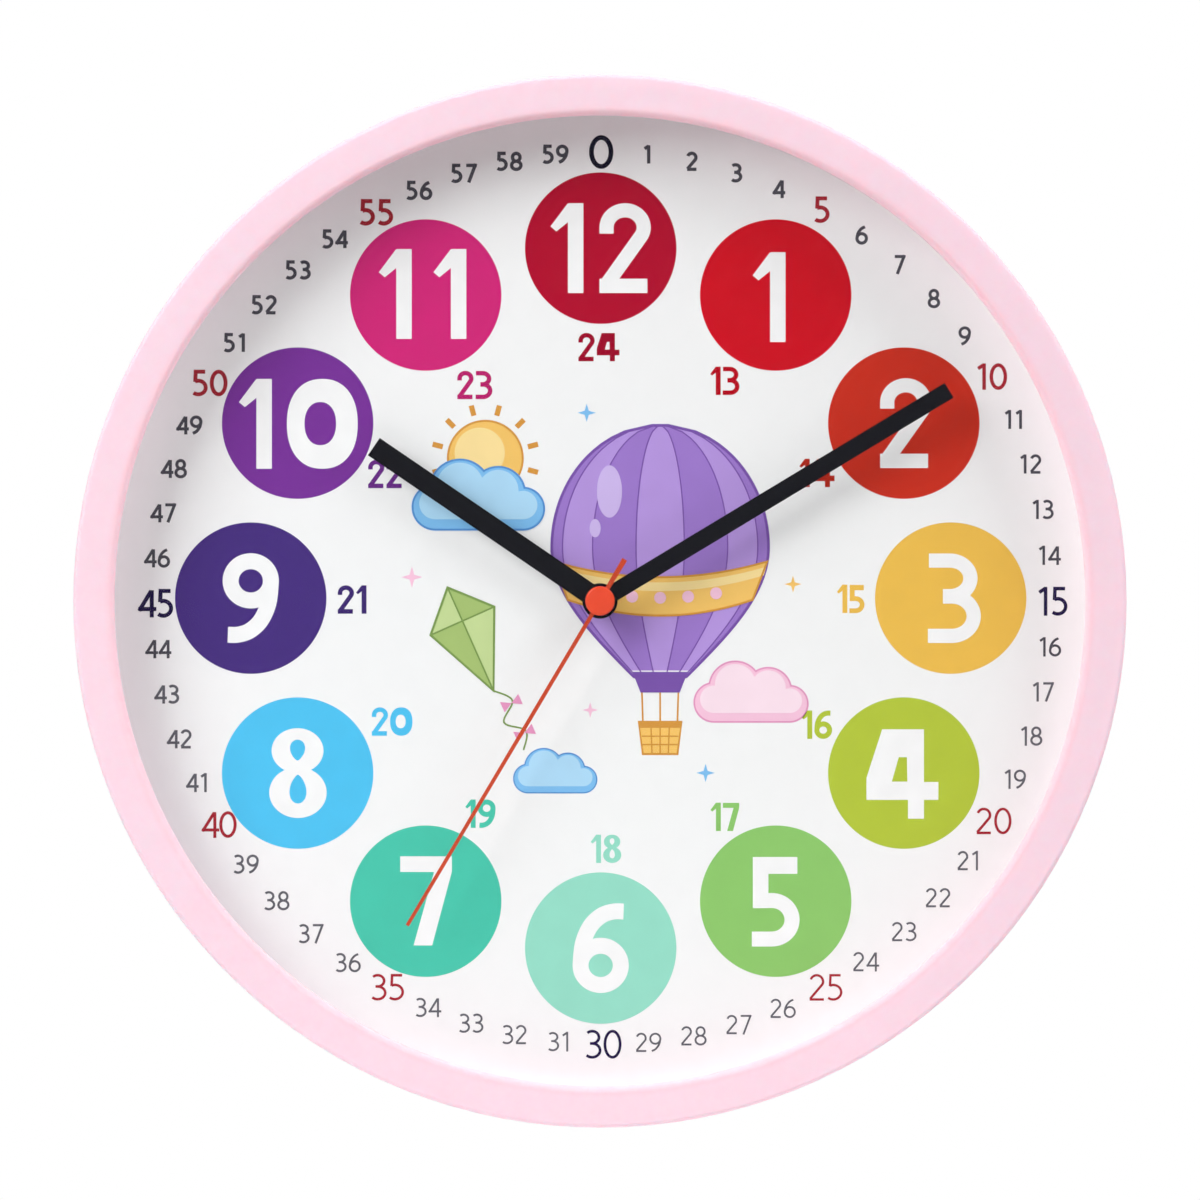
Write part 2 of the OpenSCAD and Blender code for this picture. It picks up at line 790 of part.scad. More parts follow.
module train_bridge() {
    color([0.85, 0.83, 0.78])
    difference() {
        union() {
            rounded_slab(bridge_x0, bridge_x1, bridge_y0, bridge_y1, 1.5, bridge_rear, bridge_front);
            for (a = [75, 195])
                at(rotor_at + polar(stator_hole_r + stator_ring_w / 2, a))
                    rod(stator_ring_w * 0.4, core_z, bridge_rear + sink);
        }
        rod(arbor_r + run_gap, bridge_rear - over, bridge_front + over);
        at(third_at)
            rod(max(third_m * 0.1, centre_m) * (third_pinion / 2 + addendum) + 0.4,
                bridge_rear - over, bridge_front + over);
        for (p = [inter_at, rotor_at, motion_at])
            at(p)
                rod(pivot_r + pivot_gap, bridge_rear - over, bridge_front + over);
        for (p = post_ats)
            at(p)
                rod(bridge_screw_d / 2 + 0.15, bridge_rear - over, bridge_front + over);
    }
}

module bridge_screws() {
    color([0.75, 0.76, 0.78])
        for (p = post_ats)
            at(p)
                screw(bridge_rear, bridge_screw_d, bridge_screw_d * 2, bridge_screw_d * 0.8, bridge_screw_l);
}

// wheels

module hour_wheel() {
    color([0.9, 0.9, 0.86])
    difference() {
        union() {
            gear(hour_m, hour_teeth, hour_turn, hour_z, hour_z + hour_t);
            rod(hour_r + 0.9, hour_z + hour_t - sink, face_in - 0.2);
            rod(hour_r, hour_z + hour_t - sink, hour_pipe_end);
        }
        rod(minute_r + run_gap, hour_z - over, hour_pipe_end + over);
    }
}

module minute_shaft() {
    color([0.8, 0.66, 0.38])
    difference() {
        union() {
            rod(minute_r, centre_z - 0.3, minute_shaft_end);
            rod(minute_r + 0.7, centre_z - 0.3, centre_z - 0.08);
            gear(motion_m, minute_pinion, 0, cannon_z, cannon_z + cannon_t);
        }
        rod(arbor_r + run_gap, centre_z - over, minute_shaft_end + over);
    }
}

module centre_wheel() {
    color([0.93, 0.92, 0.88])
    difference() {
        gear(centre_m, centre_teeth, centre_turn, centre_z, centre_z + wheel_t);
        rod(minute_r + run_gap, centre_z - over, centre_z + wheel_t + over);
    }
}

module clutch_washer() {
    color([0.75, 0.76, 0.78])
        tube(minute_r + 1.5, minute_r + push_gap, washer_z, washer_z + washer_t);
}

module motion_wheel() {
    color([0.93, 0.92, 0.88])
    at(motion_at) {
        rod(pivot_r, bridge_rear + 0.2, motion_end + 1.1);
        rod(arbor_r, bridge_front + 0.2, motion_z + sink);
        gear(motion_m, motion_teeth, motion_turn, motion_z, motion_z + motion_t);
        gear(hour_m, motion_pinion, 0, motion_z + motion_t - sink, motion_end);
    }
}

module third_wheel() {
    color([0.93, 0.92, 0.88])
    at(third_at) {
        rod(pivot_r, rear_in - 0.4, centre_z + wheel_t + 1.5);
        rod(arbor_r, rear_in + 0.8, third_z + sink);
        gear(third_m, third_teeth, third_turn, third_z, third_z + wheel_t);
        gear(centre_m, third_pinion, 0, third_z + wheel_t - sink, centre_z + wheel_t + 0.4);
    }
}

module second_wheel() {
    color([0.93, 0.92, 0.88])
    difference() {
        union() {
            gear(inter_m, second_teeth, 0, second_z, second_z + wheel_t);
            gear(third_m, second_pinion, 0, second_z + wheel_t - sink, bridge_rear - 0.2);
        }
        rod(arbor_r + push_gap, second_z - over, bridge_rear + over);
    }
}

module second_arbor() {
    color([0.8, 0.81, 0.83])
        rod(arbor_r, rear_in - 0.4, arbor_end);
}

module intermediate_wheel() {
    color([0.93, 0.92, 0.88])
    at(inter_at) {
        rod(pivot_r, rear_in - 0.4, bridge_front - 0.2);
        rod(arbor_r, second_z, bridge_rear - 0.2);
        gear(rotor_m, inter_teeth, 0, inter_z, inter_z + wheel_t);
        gear(inter_m, inter_pinion, inter_turn, inter_z + wheel_t - sink, second_z + wheel_t + 0.6);
    }
}

module rotor_pinion_hub() {
    color([0.93, 0.92, 0.88])
    at(rotor_at) {
        rod(pivot_r, rear_in - 0.4, bridge_front - 0.2);
        rod(arbor_r + 0.4, inter_z + wheel_t, bridge_rear - 0.3);
        gear(rotor_m, rotor_teeth, rotor_turn, inter_z - 0.3, inter_z + wheel_t + 0.3);
    }
}

module rotor_magnet() {
    color([0.3, 0.3, 0.32])
        at(rotor_at)
            tube(magnet_d / 2, arbor_r + 0.4 + push_gap, stator_z - 0.2, core_z + 0.4);
}

module setting_shaft() {
    color([0.93, 0.92, 0.88])
    at(setting_at) {
        rod(setting_r, knob_z + 0.1, cannon_z + 0.1 + sink);
        gear(motion_m, minute_pinion, setting_turn, cannon_z + 0.1, cannon_z + cannon_t);
        rod(setting_r * 0.55, cannon_z + cannon_t - sink, cannon_z + 3.4);
    }
}

module setting_knob() {
    color([0.15, 0.15, 0.16])
    at(setting_at)
        difference() {
            rod(knob_r, knob_z, knob_end);
            rod(setting_r + push_gap, knob_z - over, knob_end + over);
            for (i = [0:knob_grips - 1])
                rotate([0, 0, 360 * i / knob_grips])
                    translate([knob_r + 0.3, 0, 0])
                        rod(0.8, knob_z - over, knob_end + over);
        }
}

// motor and circuit

module stator() {
    color([0.62, 0.63, 0.65])
    translate([0, 0, stator_z])
        linear_extrude(stator_t)
            difference() {
                union() {
                    at(rotor_at)
                        circle(stator_r);
                    polygon([
                        [coil_x0 - 0.3 - stator_leg_w, leg_low],
                        [coil_x0 - 0.3, leg_low],
                        [coil_x0 - 0.3, arm_y],
                        [rotor_at.x, arm_y],
                        [rotor_at.x, rotor_at.y],
                        [coil_x0 - 0.3 - stator_leg_w, rotor_at.y]
                    ]);
                    polygon([
                        [rotor_at.x, arm_y],
                        [coil_x1 + 0.3, arm_y],
                        [coil_x1 + 0.3, leg_low],
                        [coil_x1 + 0.3 + stator_leg_w, leg_low],
                        [coil_x1 + 0.3 + stator_leg_w, arm_top],
                        [rotor_at.x, arm_top]
                    ]);
                }
                at(rotor_at)
                    circle(stator_hole_r);
            }
}

module coil_core() {
    color([0.6, 0.61, 0.63])
        slab(coil_x0 - stator_leg_w, coil_x1 + stator_leg_w,
            coil_y - core_w / 2, coil_y + core_w / 2, core_z, core_z + core_t);
}

module coil_bobbin() {
    color([0.88, 0.88, 0.85])
    difference() {
        translate([coil_x0, coil_y, coil_z])
            rotate([0, 90, 0]) {
                rod(coil_d / 2, 0, flange_t);
                rod(barrel_r, flange_t - sink, coil_l - flange_t + sink);
                rod(coil_d / 2, coil_l - flange_t, coil_l);
            }
        slab(coil_x0 - over, coil_x1 + over, coil_y - core_w / 2 - push_gap,
            coil_y + core_w / 2 + push_gap, core_z - push_gap, core_z + core_t + push_gap);
    }
}

module coil_winding() {
    color([0.72, 0.36, 0.16])
        translate([coil_x0, coil_y, coil_z])
            rotate([0, 90, 0])
                tube(winding_r, barrel_r + push_gap, flange_t + push_gap, coil_l - flange_t - push_gap);
}

module circuit_board() {
    color([0.16, 0.38, 0.2])
        slab(board_x0, board_x1, board_y0, board_y1, board_z, board_front);
}

module quartz_can() {
    color([0.8, 0.81, 0.83])
        translate([board_x1 - 3 - can_l, board_y1 - 2, board_z - can_d / 2])
            rotate([0, 90, 0])
                cylinder(d = can_d, h = can_l);
}

module chip_cover() {
    color([0.08, 0.08, 0.08])
        translate([board_x0 + 3.4, board_y0 + board_w * 0.4, board_z])
            rotate([180, 0, 0])
                rotate_extrude()
                    polygon(concat(
                        [[0, 0], [chip_d / 2, 0]],
                        [for (k = [1:arc_steps]) let (a = 90 * k / arc_steps)
                            [chip_d / 2 * cos(a), chip_h * sin(a)]]
                    ));
}

module contact_plate(x0, x1) {
    slab(x0, x1, cell_y - contact_plate_w / 2, cell_y + contact_plate_w / 2,
        cell_z - contact_plate_h / 2, cell_z + contact_plate_h / 2);
    slab(x0, x1, cell_y, gear_low + contact_t, contact_z0, contact_z1);
}

module positive_contact() {
    color([0.8, 0.8, 0.78]) {
        contact_plate(bay_in - contact_t, bay_in);
        slab(bay_in - contact_t, bay_in, gear_low, tab_y + tab_w, contact_z0, contact_z1);
        slab(board_x1 - tab_w, bay_in - contact_t / 2, tab_y, tab_y + tab_w,
            contact_z0, contact_z0 + contact_t);
    }
}

module negative_contact() {
    bow = cell_x - end_gap;
    bow_h = contact_plate_h / 2 - contact_t / 2;
    bow_t = contact_t * 0.75;
    root_x = -bay_in + contact_t / 2;
    free_x = -bay_in + 2 * contact_t;
    tab_x = board_x0 + contact_t;
    color([0.8, 0.8, 0.78]) {
        contact_plate(-bay_in, -bay_in + contact_t);
        translate([0, cell_y + spring_w / 2, 0])
            rotate([90, 0, 0])
                linear_extrude(spring_w)
                    polygon([
                        [root_x, cell_z + bow_h],
                        [bow, cell_z + bow_t],
                        [bow, cell_z - bow_t],
                        [free_x, cell_z - bow_h + contact_t],
                        [free_x, cell_z - bow_h + 2 * contact_t],
                        [bow - bow_t, cell_z],
                        [root_x, cell_z + bow_h - 2 * contact_t]
                    ]);
        slab(-bay_in, tab_x + tab_w, gear_low, gear_low + contact_t, contact_z0, contact_z1);
        slab(tab_x, tab_x + tab_w, gear_low, tab_y, contact_z0, contact_z0 + contact_t);
    }
}

module cell() {
    color([0.25, 0.42, 0.3])
    translate([cell_x, cell_y, cell_z])
        rotate([0, 90, 0])
            rotate_extrude()
                polygon([
                    [0, 0],
                    [cell_d / 2 - 1.2, 0],
                    [cell_d / 2 - 1.2, 0.3],
                    [cell_d / 2 - 0.3, 0.3],
                    [cell_d / 2, 0.6],
                    [cell_d / 2, cell_l - 0.6],
                    [cell_d / 2 - 0.4, cell_l],
                    [cell_d / 2 - 1.6, cell_l],
                    [cell_d / 2 - 1.6, cell_l - 0.5],
                    [nub_d / 2 + 0.8, cell_l - 0.5],
                    [nub_d / 2, cell_l],
                    [nub_d / 2, cell_l + nub_l - 0.3],
                    [nub_d / 2 - 0.3, cell_l + nub_l],
                    [0, cell_l + nub_l]
                ]);
}

// hands

module baton_hand(l, w, bore, z, collet_r, collet_z) {
    difference() {
        union() {
            rod(hub_d / 2, z, z + hand_t);
            slab(-w / 2, w / 2, 0, l, z, z + hand_t);
            rod(collet_r, collet_z, z + hand_t / 2);
        }
        rod(bore, collet_z - over, z + hand_t + over);
    }
}

module hour_hand() {
    color([0.06, 0.06, 0.06])
        rotate([0, 0, -hour_angle])
            baton_hand(hour_l, hour_w, hour_r + push_gap, hour_hand_z, hour_r + 1, hour_hand_z - 1.6);
}

module minute_hand() {
    color([0.06, 0.06, 0.06])
        rotate([0, 0, -minute_angle])
            baton_hand(minute_l, minute_w, minute_r + push_gap, minute_hand_z,
                minute_r + 1, hour_pipe_end + collet_gap);
}

module second_hand() {
    color([0.92, 0.3, 0.12])
    rotate([0, 0, -second_angle])
        translate([0, 0, second_hand_z])
            linear_extrude(second_t)
                union() {
                    circle(cap_d * 0.36);
                    polygon([
                        [-second_w / 2, 0],
                        [second_w / 2, 0],
                        [second_tip_w / 2, second_l],
                        [-second_tip_w / 2, second_l]
                    ]);
                    polygon([
                        [-second_w / 2, 0],
                        [-tail_w / 2, -tail_l],
                        [tail_w / 2, -tail_l],
                        [second_w / 2, 0]
                    ]);
                }
}

module second_tube() {
    color([0.8, 0.66, 0.38])
        tube(arbor_r + 0.8, arbor_r + push_gap, tube_z, second_hand_z);
}

module second_cap() {
    color([0.92, 0.3, 0.12])
        translate([0, 0, second_hand_z + second_t])
            rotate_extrude()
                polygon(concat(
                    [[0, 0], [cap_d / 2, 0]],
                    arc([cap_d / 2 - cap_round, cap_h - cap_round], cap_round, 0, 90),
                    [[0, cap_h]]
                ));
}

// the keyhole's centre, on the strap's rear face, goes to the origin, and the front faces -y
module place() {
    translate([0, strap_z, -hanger_y])
        rotate([90, 0, 0])
            children();
}

place() bezel();
place() lens();
place() spacer_ring();
place() dial();
place() back_plate();
place() case_screws();
place() hanger_strap();
place() hanger_screws();
place() movement_front_shell();
place() movement_rear_shell();
place() pad();
place() train_bridge();
place() bridge_screws();
place() hour_wheel();
place() minute_shaft();
place() centre_wheel();
place() clutch_washer();
place() motion_wheel();
place() third_wheel();
place() second_wheel();
place() second_arbor();
place() intermediate_wheel();
place() rotor_pinion_hub();
place() rotor_magnet();
place() setting_shaft();
place() setting_knob();
place() stator();
place() coil_core();
place() coil_bobbin();
place() coil_winding();
place() circuit_board();
place() quartz_can();
place() chip_cover();
place() positive_contact();
place() negative_contact();
place() cell();
place() hour_hand();
place() minute_hand();
place() second_hand();
place() second_tube();
place() second_cap();
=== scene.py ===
"""Looks of a round teaching wall clock: materials, the printed dial, light and camera."""

import json
import math

import bpy
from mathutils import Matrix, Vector
from mathutils.geometry import delaunay_2d_cdt, tessellate_polygon


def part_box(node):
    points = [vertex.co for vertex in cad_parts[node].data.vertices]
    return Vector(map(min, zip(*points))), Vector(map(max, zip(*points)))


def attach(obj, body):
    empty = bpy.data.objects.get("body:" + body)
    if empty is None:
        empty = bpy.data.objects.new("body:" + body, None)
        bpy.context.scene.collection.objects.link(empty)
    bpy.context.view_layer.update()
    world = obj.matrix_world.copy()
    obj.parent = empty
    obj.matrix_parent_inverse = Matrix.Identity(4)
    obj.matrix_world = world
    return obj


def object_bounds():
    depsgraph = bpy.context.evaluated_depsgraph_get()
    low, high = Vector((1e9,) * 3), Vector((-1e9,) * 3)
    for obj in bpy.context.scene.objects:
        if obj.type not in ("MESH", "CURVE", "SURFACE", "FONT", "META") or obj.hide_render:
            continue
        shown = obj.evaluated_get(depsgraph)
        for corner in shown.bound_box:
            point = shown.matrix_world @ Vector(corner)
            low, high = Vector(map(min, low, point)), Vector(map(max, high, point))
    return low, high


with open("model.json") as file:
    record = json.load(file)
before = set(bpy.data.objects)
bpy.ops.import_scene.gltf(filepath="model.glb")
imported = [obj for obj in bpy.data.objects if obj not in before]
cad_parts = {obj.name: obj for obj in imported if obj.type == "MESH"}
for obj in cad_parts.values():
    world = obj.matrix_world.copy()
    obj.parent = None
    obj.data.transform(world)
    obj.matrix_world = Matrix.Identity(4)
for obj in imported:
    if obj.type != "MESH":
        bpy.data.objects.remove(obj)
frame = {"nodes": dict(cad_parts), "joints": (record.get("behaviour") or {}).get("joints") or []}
CAD_BOX = [list(corner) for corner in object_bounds()]
NODES = frame["nodes"]
MM = 0.001

# The hands' axis, and the front faces of the dial and of the case, in the frame
AXIS = Vector(next(j["pos_m"] for j in frame["joints"] if j["name"] == "minute_spin"))
DIAL_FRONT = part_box("dial")[0].y
FRONT = CAD_BOX[0][1]
LAYER = 0.03 * MM  # each layer of ink lies this far in front of the one below
PRINT = Vector((0.2, 0.8)) * MM  # the print sits this far off the hands' axis


# Materials

# Most values of a noise lie between these
NOISE_LO, NOISE_HI = 0.3, 0.7
# How a translucent plastic scatters: its share, and how far red, green and blue go
SOAK_SHARE = 0.7
SOAK_RADIUS = (1.0, 0.35, 0.4)


def linear(r, g, b):
    """A colour given as 0 to 255 sRGB, as linear RGBA."""
    out = []
    for v in (r, g, b):
        c = v / 255
        out.append(c / 12.92 if c <= 0.04045 else ((c + 0.055) / 1.055) ** 2.4)
    return (*out, 1.0)


def shade(colour, k):
    """A colour k times as bright."""
    return (*(min(1.0, c * k) for c in colour[:3]), 1.0)


class Material:
    """A material with a Principled shader and a few helpers to drive it by noise."""

    def __init__(self, name):
        self.mat = bpy.data.materials.new(name)
        self.mat.use_nodes = True
        self.tree = self.mat.node_tree
        self.bsdf = self.tree.nodes["Principled BSDF"]
        self.coord = self.node("ShaderNodeTexCoord").outputs["Object"]

    def node(self, kind, **values):
        n = self.tree.nodes.new(kind)
        for key, value in values.items():
            setattr(n, key, value)
        return n

    def link(self, a, b):
        self.tree.links.new(a, b)

    def noise(self, scale, detail=3.0, stretch=None):
        n = self.node("ShaderNodeTexNoise")
        n.inputs["Scale"].default_value = scale
        n.inputs["Detail"].default_value = detail
        n.inputs["Roughness"].default_value = 0.55
        source = self.coord
        if stretch:
            m = self.node("ShaderNodeMapping")
            m.inputs["Scale"].default_value = stretch
            self.link(self.coord, m.inputs["Vector"])
            source = m.outputs["Vector"]
        self.link(source, n.inputs["Vector"])
        return n.outputs["Fac"]

    def ramp(self, fac, stops):
        """A value turned into a colour."""
        r = self.node("ShaderNodeValToRGB")
        e = r.color_ramp.elements
        while len(e) < len(stops):
            e.new(0.5)
        for item, (at, colour) in zip(e, stops):
            item.position = at
            item.color = colour
        self.link(fac, r.inputs["Fac"])
        return r.outputs["Color"]

    def mottle(self, fac, dark, light):
        """A noise turned into a colour between two."""
        return self.ramp(fac, [(NOISE_LO, dark), (NOISE_HI, light)])

    def spread(self, fac, lo, hi):
        """A noise stretched to run from lo to hi."""
        m = self.node("ShaderNodeMapRange")
        m.inputs["From Min"].default_value = NOISE_LO
        m.inputs["From Max"].default_value = NOISE_HI
        m.inputs["To Min"].default_value = lo
        m.inputs["To Max"].default_value = hi
        self.link(fac, m.inputs["Value"])
        return m.outputs["Result"]

    def bump(self, fac, strength, distance):
        b = self.node("ShaderNodeBump")
        b.inputs["Strength"].default_value = strength
        b.inputs["Distance"].default_value = distance
        self.link(fac, b.inputs["Height"])
        self.link(b.outputs["Normal"], self.bsdf.inputs["Normal"])


def surface(name, colour, rough=(0.45, 0.55), vary=0.03, tone=220.0, grain=1500.0, depth=0.02,
            strength=0.25, metal=0.0, coat=0.0, stretch=None, specular=0.5, glow=0.0):
    """Mottled colour, uneven roughness and a fine grain. Glow is how far light soaks in, in millimetres."""
    m = Material(name)
    tint = m.mottle(m.noise(tone, 4.0, stretch), shade(colour, 1 - vary), shade(colour, 1 + vary))
    m.link(tint, m.bsdf.inputs["Base Color"])
    m.link(m.spread(m.noise(tone * 2.3, 3.0, stretch), *rough), m.bsdf.inputs["Roughness"])
    m.bump(m.noise(grain, 2.0, stretch), strength, depth * MM)
    m.bsdf.inputs["Metallic"].default_value = metal
    m.bsdf.inputs["Coat Weight"].default_value = coat
    m.bsdf.inputs["Specular IOR Level"].default_value = specular
    if glow:
        m.bsdf.inputs["Subsurface Weight"].default_value = SOAK_SHARE
        m.bsdf.inputs["Subsurface Radius"].default_value = SOAK_RADIUS
        m.bsdf.inputs["Subsurface Scale"].default_value = glow * MM
    return m.mat


def deepen_edge(mat, inner, outer, tint):
    """Painted shade: deepen a material's colour towards a round opening's edge, standing in for the
    saturated shade that light soaking through the plastic gives that edge.
    """
    nodes, link = mat.node_tree.nodes, mat.node_tree.links.new
    colour = nodes["Principled BSDF"].inputs["Base Color"]
    flat = nodes.new("ShaderNodeVectorMath")
    flat.operation = "MULTIPLY"
    flat.inputs[1].default_value = (1, 0, 1)
    link(nodes["Texture Coordinate"].outputs["Object"], flat.inputs[0])
    away = nodes.new("ShaderNodeVectorMath")
    away.operation = "DISTANCE"
    away.inputs[1].default_value = (AXIS.x, 0, AXIS.z)
    link(flat.outputs["Vector"], away.inputs[0])
    near = nodes.new("ShaderNodeMapRange")
    near.interpolation_type = "SMOOTHSTEP"
    near.inputs["From Min"].default_value = inner
    near.inputs["From Max"].default_value = outer
    near.inputs["To Min"].default_value = 1.0
    near.inputs["To Max"].default_value = 0.0
    link(away.outputs["Value"], near.inputs["Value"])
    mix = nodes.new("ShaderNodeMix")
    mix.data_type = "RGBA"
    mix.blend_type = "MULTIPLY"
    link(near.outputs["Result"], mix.inputs["Factor"])
    link(colour.links[0].from_socket, mix.inputs["A"])
    mix.inputs["B"].default_value = tint
    link(mix.outputs["Result"], colour)


def ink(name, rgb):
    """Printed ink: nearly even, with the dial's own faint tooth."""
    return surface(name, linear(*rgb), rough=(0.55, 0.68), vary=0.025, tone=160.0, grain=2600.0,
                   depth=0.006, strength=0.15, specular=0.04)


def clear_lens(name):
    """A clear pane that mirrors a little, more at a slant, with faint wipe marks and a ground edge."""
    face_on, slanted, power = 0.003, 0.8, 5.0  # the mirrored share, what a slant adds and how steeply
    m = Material(name)
    m.tree.nodes.remove(m.bsdf)
    see = m.node("ShaderNodeBsdfTransparent")
    see.inputs["Color"].default_value = (0.992, 0.996, 0.996, 1)
    gloss = m.node("ShaderNodeBsdfGlossy")
    gloss.inputs["Color"].default_value = (1, 1, 1, 1)
    m.link(m.spread(m.noise(60.0, 5.0, (1, 1, 3)), 0.02, 0.06), gloss.inputs["Roughness"])
    slant = m.node("ShaderNodeLayerWeight")
    slant.inputs["Blend"].default_value = 0.5
    steep = m.node("ShaderNodeMath", operation="POWER")
    steep.inputs[1].default_value = power
    m.link(slant.outputs["Facing"], steep.inputs[0])
    share = m.node("ShaderNodeMath", operation="MULTIPLY_ADD")
    share.inputs[1].default_value = slanted
    share.inputs[2].default_value = face_on
    m.link(steep.outputs[0], share.inputs[0])
    mix = m.node("ShaderNodeMixShader")
    m.link(share.outputs[0], mix.inputs["Fac"])
    m.link(see.outputs["BSDF"], mix.inputs[1])
    m.link(gloss.outputs["BSDF"], mix.inputs[2])
    ground = m.node("ShaderNodeBsdfDiffuse")
    m.link(m.mottle(m.noise(800.0), linear(238, 242, 242), linear(250, 252, 252)), ground.inputs["Color"])
    facing = m.node("ShaderNodeSeparateXYZ")
    m.link(m.node("ShaderNodeTexCoord").outputs["Normal"], facing.inputs["Vector"])
    flat = m.node("ShaderNodeMath", operation="ABSOLUTE")
    m.link(facing.outputs["Y"], flat.inputs[0])
    edge = m.node("ShaderNodeMath", operation="LESS_THAN")
    edge.inputs[1].default_value = 0.5
    m.link(flat.outputs[0], edge.inputs[0])
    whole = m.node("ShaderNodeMixShader")
    m.link(edge.outputs[0], whole.inputs["Fac"])
    m.link(mix.outputs["Shader"], whole.inputs[1])
    m.link(ground.outputs["BSDF"], whole.inputs[2])
    m.link(whole.outputs["Shader"], m.tree.nodes["Material Output"].inputs["Surface"])
    return m.mat


def cell_jacket(name, x0, x1):
    """A plain battery: bare ends and a two-tone jacket, split along its length."""
    m = Material(name)
    parts = m.node("ShaderNodeSeparateXYZ")
    m.link(m.coord, parts.inputs["Vector"])
    along = m.node("ShaderNodeMapRange")
    along.inputs["From Min"].default_value = x0
    along.inputs["From Max"].default_value = x1
    m.link(parts.outputs["X"], along.inputs["Value"])
    steel, dark, gold = linear(190, 190, 186), linear(38, 44, 52), linear(198, 150, 82)
    bands = m.ramp(along.outputs["Result"], [(0.0, steel), (0.012, dark), (0.72, gold), (0.965, steel)])
    bands.node.color_ramp.interpolation = "CONSTANT"
    mix = m.node("ShaderNodeMix", data_type="RGBA", blend_type="MULTIPLY")
    mix.inputs["Factor"].default_value = 0.12
    m.link(bands, mix.inputs["A"])
    m.link(m.mottle(m.noise(260.0), (0.6, 0.6, 0.6, 1), (1, 1, 1, 1)), mix.inputs["B"])
    m.link(mix.outputs["Result"], m.bsdf.inputs["Base Color"])
    m.link(m.spread(m.noise(420.0), 0.22, 0.34), m.bsdf.inputs["Roughness"])
    m.bsdf.inputs["Metallic"].default_value = 0.45
    m.bump(m.noise(900.0), 0.1, 0.01 * MM)
    return m.mat


OPENING_EDGE = (139.2 * MM, 141.8 * MM)  # the painted shade on the ring's inner edge fades out between these
# Painted shade: the ring's colour is multiplied by this towards its inner edge, for a deeper pink there
PAINTED_EDGE_SHADE = (1.0, 0.92, 0.91, 1.0)

PINK = surface("pink_plastic", linear(255, 215, 227), rough=(0.5, 0.64), vary=0.012, tone=190.0,
               grain=1100.0, depth=0.02, strength=0.22, specular=0.3, glow=3.5)
# Painted shade along the ring's rounded inner edge
deepen_edge(PINK, *OPENING_EDGE, PAINTED_EDGE_SHADE)
PALE_PINK = surface("spacer_plastic", linear(253, 228, 237), rough=(0.5, 0.64), vary=0.012, tone=190.0,
                    grain=1100.0, depth=0.02, strength=0.22, specular=0.2)
WHITE_DIAL = surface("dial_white", linear(246, 246, 246), rough=(0.5, 0.62), vary=0.012, tone=240.0,
                     grain=2600.0, depth=0.008, strength=0.15, specular=0.1)
PLATE = surface("plate_plastic", linear(232, 232, 229), rough=(0.5, 0.66), vary=0.02, grain=900.0,
                depth=0.03, strength=0.3)
BLACK = surface("black_plastic", linear(34, 34, 36), rough=(0.42, 0.58), vary=0.12, grain=1300.0,
                depth=0.03, strength=0.35)
KNOB = surface("knob_plastic", linear(58, 58, 62), rough=(0.38, 0.5), vary=0.08, grain=1300.0,
               strength=0.3)
ZINC = surface("zinc_steel", linear(196, 198, 203), rough=(0.28, 0.42), vary=0.07, tone=320.0,
               grain=700.0, depth=0.01, metal=1.0, stretch=(0.25, 3, 3))
FOAM = surface("foam", linear(52, 52, 54), rough=(0.85, 0.95), vary=0.2, tone=900.0, grain=1400.0,
               depth=0.15, strength=0.6)
CREAM = surface("bridge_plastic", linear(226, 220, 204), rough=(0.45, 0.6), grain=1200.0)
NYLON = surface("wheel_plastic", linear(240, 237, 228), rough=(0.35, 0.48), vary=0.02)
BRASS = surface("brass", linear(210, 172, 100), rough=(0.25, 0.38), vary=0.06, grain=1200.0, metal=1.0)
IRON = surface("core_iron", linear(150, 152, 158), rough=(0.35, 0.5), vary=0.08, grain=900.0, metal=1.0)
MAGNET = surface("magnet", linear(92, 92, 96), rough=(0.45, 0.6), vary=0.1, grain=1600.0, metal=0.8)
COPPER = surface("copper_wire", linear(196, 116, 66), rough=(0.3, 0.42), vary=0.12, grain=2200.0,
                 depth=0.06, strength=0.5, metal=1.0, stretch=(4, 0.3, 0.3))
BOARD = surface("board", linear(44, 104, 62), rough=(0.3, 0.45), vary=0.1)
RESIN = surface("chip_resin", linear(24, 24, 25), rough=(0.2, 0.32), vary=0.1, coat=0.3)
NICKEL = surface("nickel", linear(206, 206, 200), rough=(0.22, 0.34), vary=0.06, metal=1.0,
                 stretch=(0.4, 2, 2))
HAND_BLACK = surface("hand_black", linear(10, 10, 17), rough=(0.5, 0.6), vary=0.12, grain=1800.0,
                     depth=0.008, strength=0.2, specular=0.05)
HAND_ORANGE = surface("hand_orange", linear(200, 70, 40), rough=(0.4, 0.5), vary=0.05, grain=1800.0,
                      depth=0.008, specular=0.1)
CAP_ORANGE = surface("cap_orange", linear(232, 62, 12), rough=(0.2, 0.27), vary=0.04, depth=0.006,
                     specular=0.4)
LENS = clear_lens("clear_lens")
cell_lo, cell_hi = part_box("cell")
CELL = cell_jacket("cell_jacket", cell_lo.x, cell_hi.x)

